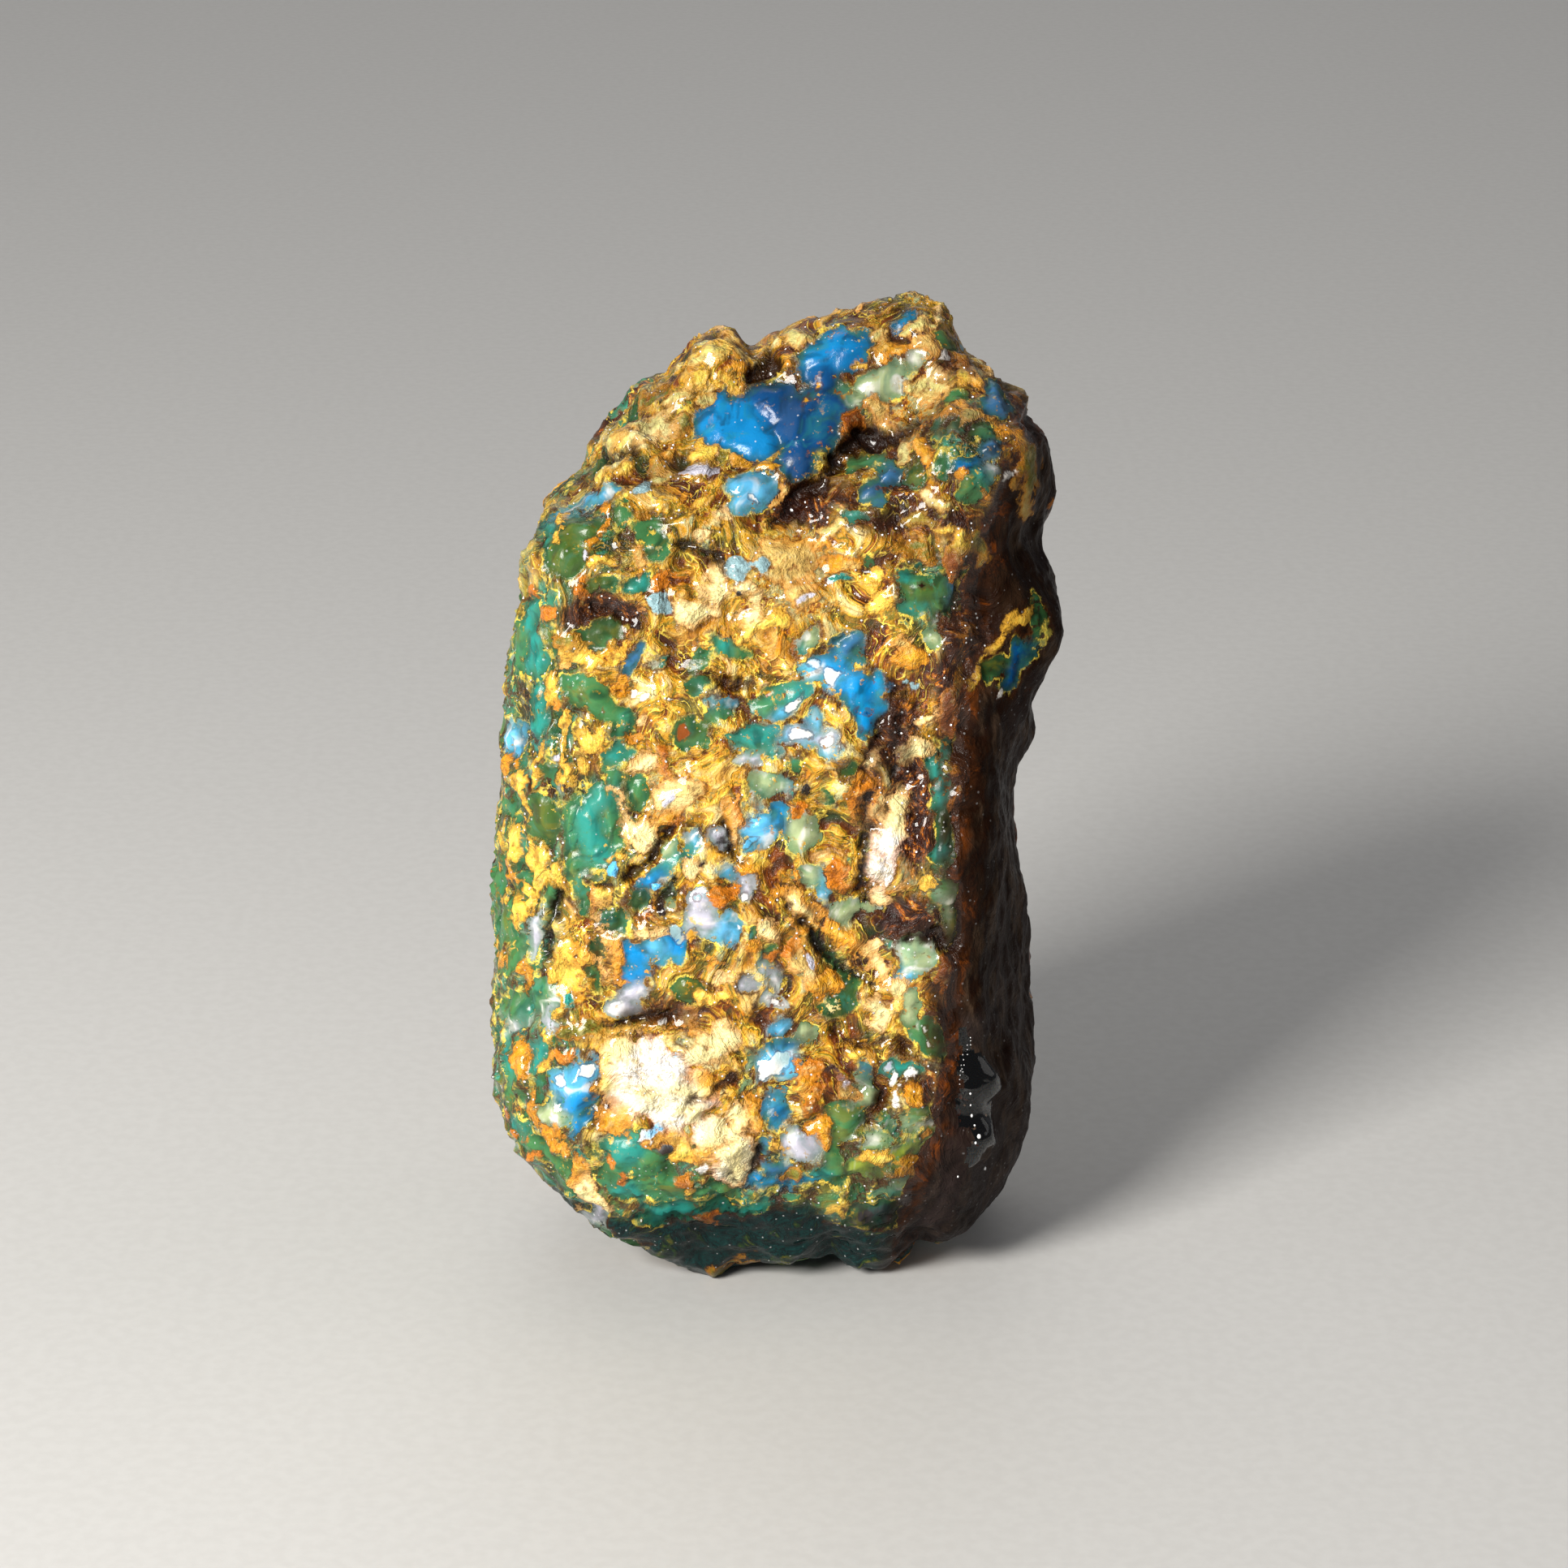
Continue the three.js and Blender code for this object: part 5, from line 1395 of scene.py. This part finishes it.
def lay_flakes(board, here, colour):
    """Flakes: orange at the edge, paler in the middle, stained and grained, with a dark line of painted
    shadow under them.
    """
    plate = here["Plate"]
    tint = flake_tint(board, here)
    blueness = board.part_of(tint, 2)  # 0 in the deep golds, near 1 in the palest flakes
    mottle = board.noise(here["Place"], 1.7, 4.0, 0.65)
    here["mottle"] = mottle
    flake = board.mix(board.rise(mottle, 0.5, 0.68, 0.0, 0.6), tint, board.mix(0.6, tint, "cream"))
    stained = board.times(board.rise(mottle, 0.47, 0.3), board.rise(blueness, 0.3, 0.7, 1.0, 0.3))
    flake = board.mix(stained, flake, board.mix(0.8, tint, "rust"))
    grains = board.rise(board.noise(here["Place"], 3.6, 2.0, 0.6), 0.48, 0.38, 0.0, 0.5)
    flake = board.mix(board.times(grains, board.rise(blueness, 0.4, 0.8)), flake, "tan")
    flake = board.mix(board.rise(plate, 0.0, 0.3), board.mix(0.6, tint, "orange"), flake)

    # painted shadow: a brown line along the flake's edge
    sunk_shade = board.times(board.band(plate, -0.08, 0.14), board.lift(here["rims"], 0.5, 0.15))
    colour = board.mix(sunk_shade, colour, "brown")
    softness = board.rise(board.noise(here["Flow"], 1.1, 1.0), 0.35, 0.65, 0.03, 0.2)
    return board.mix(board.rise(board.math("DIVIDE", plate, softness), -1.0, 0.4), colour, flake)


print("second step: flakes over the windows")

# %% Lay beads and crevices, then painted light and shade, and painted glints
def lay_details(board, here, colour):
    """Beads and crevices, and the brown painted shade of the dusk over all."""
    bead, crevice = here["Bead"], here["Crevice"]
    colour = board.mix(board.times(board.band(bead, -0.06, 0.09), 0.5), colour, "brown")
    colour = board.mix(board.rise(bead, -0.05, 0.05), colour, surface_colour(board, "bead_tint"))
    # crevices: their dark tint is partly the crust's own and partly painted shade
    sunk_shade = board.rise(crevice, -0.25, 0.15, 0.0, 0.9)
    colour = board.mix(sunk_shade, colour, surface_colour(board, "crevice_tint"))
    # painted shade: the dusk browns and darkens the colour
    return board.mix(board.rise(here["dusk"], 0.35, 1.0, 0.0, 0.45), colour, "brown")


def lay_light(board, here, colour):
    """Painted light and shade: lighter tops and darker hollows by the height, darker in the dusk, on the
    underside and on the smoky flank; and fine streaks on the crust.
    """
    streaks = board.rise(here["fine"], 0.3, 0.7, 0.76, 1.2)
    # painted light and shade: height, dusk, underside shade and the smoky flank scale the colour
    lightness = board.times(
        board.blend(board.most(here["in window"], here["smoky"]), streaks, 1.0),
        board.rise(here["Height"], -0.6, 0.0, 0.56, 1.12),
        board.lift(here["dusk"], -0.42, 1.0),
        board.lift(here["shade"], -0.45, 1.0),
        board.lift(here["smoky"], -0.3, 1.0),
    )
    lit = board.put("ShaderNodeVectorMath", operation="SCALE")
    board.feed(lit.inputs[0], colour)
    board.feed(lit.inputs["Scale"], lightness)
    return lit.outputs[0]


def lay_glints(board, here, colour):
    """Painted glints: tiny white specks that stand in for highlights on the wet crust, few in the windows, on
    the underside and on the smoky flank.
    """
    place = here["Place"]
    spot_size = board.rise(board.part_of(board.cells(place, 3.0, "Color"), 0), 0.2, 1.0, 0.0, 0.2)
    glint = board.rise(board.math("SUBTRACT", spot_size, board.cells(place, 3.0, "Distance")), 0.0, 0.05)
    in_crust = board.lift(board.rise(here["smoky"], 0.0, 0.5), -0.92, 1.0)
    in_open = board.lift(board.most(here["in window"], here["shade"]), -0.7, 1.0)
    here["glint"] = board.times(glint, in_crust, in_open)
    # painted highlight: the glint specks are mixed to plain white
    return board.mix(here["glint"], colour, "air")


print("last steps: beads, crevices, light and glints")

# %% Set the gloss and the fine relief, and put the finish together
COAT_ROUGHNESS = 0.07
RESIN_IOR = 1.54
FINE_STRENGTH = 0.9  # of the relief that the mesh is too coarse for
CRUST_SHINE, WORN_SHINE = 0.2, 0.02  # how much the surface mirrors, where it is polished and where it is worn


def set_gloss(board, shader, here):
    """Pale windows are polished glass, dark ones are satin, sand and crumb are dull, the flank is matt."""
    in_window, smoky = here["in window"], here["smoky"]
    of_window = board.lift(here["paleness"], -0.08, 0.25)
    roughness = board.blend(in_window, board.blend(here["covered"], 0.26, 0.32), of_window)
    roughness = board.blend(board.most(here["sand"], board.times(here["crumb"], 0.6)), roughness, 0.42)
    roughness = board.blend(smoky, roughness, board.rise(here["fine"], 0.3, 0.7, 0.28, 0.5))
    board.feed(shader.inputs["Roughness"], roughness)
    coat = board.blend(in_window, 0.4, board.lift(here["paleness"], 0.4, 0.05))
    board.feed(shader.inputs["Coat Weight"], board.blend(smoky, coat, 0.03))


def set_fine_relief(board, shader, here):
    """The grain of the crust and the edges of its marks, finer than the mesh can hold."""
    in_window = here["in window"]
    dust = board.noise(here["Place"], 7.0, 2.0)
    grain = board.plus(
        board.times(board.plus(here["mottle"], -0.5), board.blend(in_window, 0.24, 0.02)),
        board.times(board.plus(dust, -0.5), board.blend(in_window, 0.06, 0.01)),
    )
    relief = board.plus(
        board.times(here["Height"], board.blend(in_window, 0.5, 0.1)),
        board.times(grain, board.lift(here["smoky"], -0.6, 1.0)),
        board.times(here["glint"], 0.05),
    )
    bump = board.put("ShaderNodeBump")
    bump.inputs["Strength"].default_value = FINE_STRENGTH
    bump.inputs["Distance"].default_value = MM
    board.feed(bump.inputs["Height"], relief)
    board.feed(shader.inputs["Normal"], bump.outputs[0])


def crust_material(material, shine):
    """The whole finish of the crust; shine is how much it mirrors."""
    board, shader, _ = start_material(material)
    here = read_here(board)
    colour = lay_windows(board, here, ground_colour(board, here))
    colour = lay_flakes(board, here, colour)
    here["covered"] = board.rise(here["Plate"], -0.03, 0.05)
    here["in window"] = board.times(here["opening"], board.lift(here["covered"], -1.0, 1.0))
    here["fine"] = board.noise(board.stretch(here["Flow"], (3.0, 3.0, 1.6)), 1.0, 3.0, 0.6)
    colour = lay_light(board, here, lay_details(board, here, colour))
    board.feed(shader.inputs["Base Color"], lay_glints(board, here, colour))
    set_gloss(board, shader, here)
    set_fine_relief(board, shader, here)
    shader.inputs["Coat Roughness"].default_value = COAT_ROUGHNESS
    shader.inputs["Specular IOR Level"].default_value = shine
    shader.inputs["IOR"].default_value = RESIN_IOR


crust_material(crust_finish, CRUST_SHINE)
print("the crust's finish has", len(crust_finish.node_tree.nodes), "nodes")

# %% [markdown]
# ## The bare resin
# At the foot of the dark flank the resin is bare and clear enough to look into. It is plain transmission:
# light goes in, bends, loses most of its blue and green on the way and comes out brown. The colour is not
# on the surface at all but in the depth, as an absorption that takes more light the further it has to go.
# The rest of the flank and the underside keep the crust's colours but shine less, because they are worn
# matt. How much a surface mirrors is one plain number in its shader, so these faces have a shader of their
# own.

# %% Make the clear resin
RESIN_TINT = (0.93, 0.8, 0.62, 1)  # what the surface lets through
RESIN_DEPTH = (0.58, 0.3, 0.13, 1)  # what is left of light deep inside
RESIN_DENSITY = 520.0  # per metre: how soon it is lost
RESIN_SHINE = 0.15


def resin_material():
    """Clear brown resin; a slow smear and faint waves keep it from looking like window glass."""
    material = bpy.data.materials.new("bare_amber")
    board, shader, output = start_material(material)
    shader.inputs["Base Color"].default_value = RESIN_TINT
    shader.inputs["Transmission Weight"].default_value = 1.0
    shader.inputs["IOR"].default_value = RESIN_IOR
    shader.inputs["Specular IOR Level"].default_value = RESIN_SHINE
    place = surface_place(board, "rest")
    smear = board.noise(place, 0.8, 2.0)
    board.feed(shader.inputs["Roughness"], board.rise(smear, 0.45, 0.7, 0.02, 0.06))
    bump = board.put("ShaderNodeBump")
    bump.inputs["Strength"].default_value = 0.3
    bump.inputs["Distance"].default_value = MM
    board.feed(bump.inputs["Height"], board.times(board.noise(place, 1.2, 2.0), 0.12))
    board.feed(shader.inputs["Normal"], bump.outputs[0])
    depth = board.put("ShaderNodeVolumeAbsorption")
    depth.inputs["Color"].default_value = RESIN_DEPTH
    depth.inputs["Density"].default_value = RESIN_DENSITY
    material.node_tree.links.new(depth.outputs[0], output.inputs["Volume"])
    return material


worn_finish = bpy.data.materials.new("amber_worn")
crust_material(worn_finish, WORN_SHINE)
skin.materials.append(worn_finish)
skin.materials.append(resin_material())
print("finishes of the stone:", [material.name for material in skin.materials])

# %% Give each face its finish
def face_shares(mesh, chosen):
    """How many of each face's corners are among the chosen vertices, from 0 to 1."""
    corners = np.empty(len(mesh.loops), dtype=int)
    mesh.loops.foreach_get("vertex_index", corners)
    starts = np.empty(len(mesh.polygons), dtype=int)
    mesh.polygons.foreach_get("loop_start", starts)
    sizes = np.diff(np.append(starts, len(corners)))
    return np.add.reduceat(chosen[corners].astype(float), starts) / sizes


CRUST, WORN, BARE_RESIN = 0, 1, 2  # the finishes by their number on the mesh
WORN_SMOKE, WORN_SHADE = 0.4, 0.5  # shares of smoke and of shade from which the surface is worn matt
MOST_CORNERS = 0.6  # a face takes a finish when more of its corners than this have it

worn = (smoke > WORN_SMOKE) | (shade > WORN_SHADE)
bare = (in_bare > 0) & (frontness > 0) & (rest[:, 1] < 0)
finish_of = np.where(face_shares(skin, worn) > MOST_CORNERS, WORN, CRUST)
finish_of[face_shares(skin, bare) > MOST_CORNERS] = BARE_RESIN
skin.polygons.foreach_set("material_index", finish_of)
skin.update()
print("faces of crust, worn and bare resin:", np.bincount(finish_of))

# %% [markdown]
# ## What is sealed in the bare resin
# Resin that ran down a trunk closed over small bubbles of air. They lie in a row under the skin, with one
# thin slit of air that curves down beside them, and crumbs of bark hang deeper in. The shallowest bubbles
# were opened when the skin wore down, so they catch the lamp.

# %% Seal bubbles, a slit and crumbs in the resin
OPEN_BUBBLES = [  # how far right, how high, and the radius, in mm
    (9.7, 9.8, 0.05), (9.8, 9.2, 0.04), (9.9, 8.7, 0.07), (10.1, 8.1, 0.05), (10.2, 7.6, 0.1),
    (10.15, 7.2, 0.06), (10.6, 6, 0.08), (9.3, 5.6, 0.05),
]
SLIT = [(9.9, 12.4), (9.62, 11.8), (9.42, 11), (9.34, 10.1)]
SLIT_RADIUS = 0.035  # mm
SLIT_STEP = 0.03  # share of a stretch of the slit between two of its balls
SEALED_BUBBLES, SEALED_CRUMBS = 5, 7

seen_right, seen_up = seen_at(points)
inclusions = bmesh.new()


def below(vertex, depth):
    """A point so many mm under a vertex of the skin."""
    return Vector(points[vertex] - facing[vertex] * depth)


def under_skin(right, up, depth):
    """A point a little way under the skin, where that place is seen from the front."""
    off = np.hypot(seen_right - right, seen_up - up) + 9 * (frontness < 0.05)
    return below(int(off.argmin()), depth)


def add_ball(middle, radius, detail=2, squash=(1, 1, 1)):
    """A ball of air, or a crumb when it is squashed."""
    shape = Matrix.Translation(middle * MM) @ Matrix.Diagonal((*squash, 1))
    bmesh.ops.create_icosphere(inclusions, subdivisions=detail, radius=radius * MM, matrix=shape)


for right, up, radius in OPEN_BUBBLES:
    add_ball(under_skin(right, up, 0.2 * radius), radius, 2, (1, 1, 1.3))
for (x0, y0), (x1, y1) in zip(SLIT, SLIT[1:]):
    for share in np.arange(0, 1, SLIT_STEP):
        add_ball(under_skin(x0 + share * (x1 - x0), y0 + share * (y1 - y0), 0), SLIT_RADIUS, 1)
within = np.flatnonzero(bare)
for vertex in chance.choice(within, SEALED_BUBBLES, replace=False):
    add_ball(below(vertex, chance.uniform(0.6, 1.8)), chance.uniform(0.04, 0.11))
for face in inclusions.faces:
    face.smooth = True
balls = len(inclusions.faces)
for vertex in chance.choice(within, SEALED_CRUMBS, replace=False):
    squash = (1, chance.uniform(0.3, 0.7), chance.uniform(0.6, 1.4))
    add_ball(below(vertex, chance.uniform(0.5, 1.8)), chance.uniform(0.06, 0.2), 1, squash)
inclusions.faces.ensure_lookup_table()
for face in inclusions.faces[balls:]:
    face.material_index = 1
sealed_mesh = bpy.data.meshes.new("sealed_bubbles")
inclusions.to_mesh(sealed_mesh)
inclusions.free()
sealed = bpy.data.objects.new("sealed_bubbles", sealed_mesh)
bpy.context.scene.collection.objects.link(sealed)

# The bubbles' plain white stands in for the silvery look of air in resin: painted reflection.
for name, colour, gloss in (("sealed_air", "air", 0.12), ("sealed_bark", "rust", 0.6)):
    material = bpy.data.materials.new(name)
    _, shader, _ = start_material(material)
    shader.inputs["Base Color"].default_value = paint(colour)
    shader.inputs["Roughness"].default_value = gloss
    sealed_mesh.materials.append(material)
print("sealed in the resin:", len(sealed_mesh.polygons), "faces")

# %% [markdown]
# ## Floor and light
# The floor is pale and plain, and so is the air round it. The main lamp is small and stands in front on the
# left, so that the crust's flakes throw small shadows and the dark flank stays dark. Three wide and weak
# lamps fill in from the left, the right and the back, so that the stone can be looked at from all sides.

# %% Lay the floor
FLOOR_HALF = 1.5  # m, from the middle of the floor to its edge
FLOOR_COLOUR = (0.62, 0.615, 0.6, 1)
FLOOR_ROUGHNESS = 0.55


def plain_material(name, colour, roughness):
    """One plain colour with a very faint grain."""
    material = bpy.data.materials.new(name)
    board, shader, _ = start_material(material)
    place = board.put("ShaderNodeTexCoord").outputs["Object"]
    grain = board.noise(place, 1400.0, 3.0)
    faint = board.rise(grain, 0.3, 0.7, 0.0, 0.05)
    board.feed(shader.inputs["Base Color"], board.mix(faint, colour, "taupe"))
    shader.inputs["Roughness"].default_value = roughness
    return material


corners = [(-FLOOR_HALF, -FLOOR_HALF, 0), (FLOOR_HALF, -FLOOR_HALF, 0)]
corners += [(FLOOR_HALF, FLOOR_HALF, 0), (-FLOOR_HALF, FLOOR_HALF, 0)]
floor_mesh = bpy.data.meshes.new("floor")
floor_mesh.from_pydata(corners, [], [(0, 1, 2, 3)])
floor = bpy.data.objects.new("floor", floor_mesh)
floor_mesh.materials.append(plain_material("pale_floor", FLOOR_COLOUR, FLOOR_ROUGHNESS))
bpy.context.scene.collection.objects.link(floor)
floor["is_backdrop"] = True
print("floor:", 2 * FLOOR_HALF, "m square")

# %% Hang the lamps
LAMP_AIM = Vector((0, 0, 0.024))  # m, the middle of the stone
WORLD_COLOUR, WORLD_STRENGTH = (0.93, 0.95, 1.0, 1), 0.16


def lamp(name, azimuth, elevation, distance, size, power, colour):
    """A square soft lamp aimed at the stone's middle; azimuth 0 is in front, and counts to the right."""
    data = bpy.data.lights.new(name, "AREA")
    data.size = size
    data.energy = power
    data.color = colour
    thing = bpy.data.objects.new(name, data)
    turn, lift = math.radians(azimuth), math.radians(elevation)
    way = Vector((math.sin(turn) * math.cos(lift), -math.cos(turn) * math.cos(lift), math.sin(lift)))
    thing.location = LAMP_AIM + way * distance
    thing.rotation_euler = way.to_track_quat("Z", "Y").to_euler()
    bpy.context.scene.collection.objects.link(thing)


lamp("key", -38, 29, 0.34, 0.11, 1.85, (1, 0.97, 0.92))
lamp("fill", -80, 25, 0.5, 0.4, 0.15, (0.92, 0.96, 1))
lamp("side", 100, 30, 0.5, 0.3, 0.18, (1, 0.97, 0.93))
lamp("back", 190, 40, 0.6, 0.5, 0.7, (1, 0.97, 0.93))
world = bpy.data.worlds.new("studio")
world.use_nodes = True
world.node_tree.nodes["Background"].inputs["Color"].default_value = WORLD_COLOUR
world.node_tree.nodes["Background"].inputs["Strength"].default_value = WORLD_STRENGTH
bpy.context.scene.world = world
bpy.context.scene.view_settings.view_transform = "Standard"
print(len(bpy.data.lights), "lamps and the air round the stone give light")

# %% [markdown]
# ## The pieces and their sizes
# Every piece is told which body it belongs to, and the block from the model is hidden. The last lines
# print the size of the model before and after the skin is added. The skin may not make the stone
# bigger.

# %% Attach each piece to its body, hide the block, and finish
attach(body, "root")
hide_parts("amber_nugget")
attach(sealed, "root")

sizes = {
    "cad": [list(corner) for corner in block_box],
    "visual": [list(corner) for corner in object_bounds()],
}
for name, (low, high) in sizes.items():
    print(name, "mm:", [round((b - a) / MM, 2) for a, b in zip(low, high)])
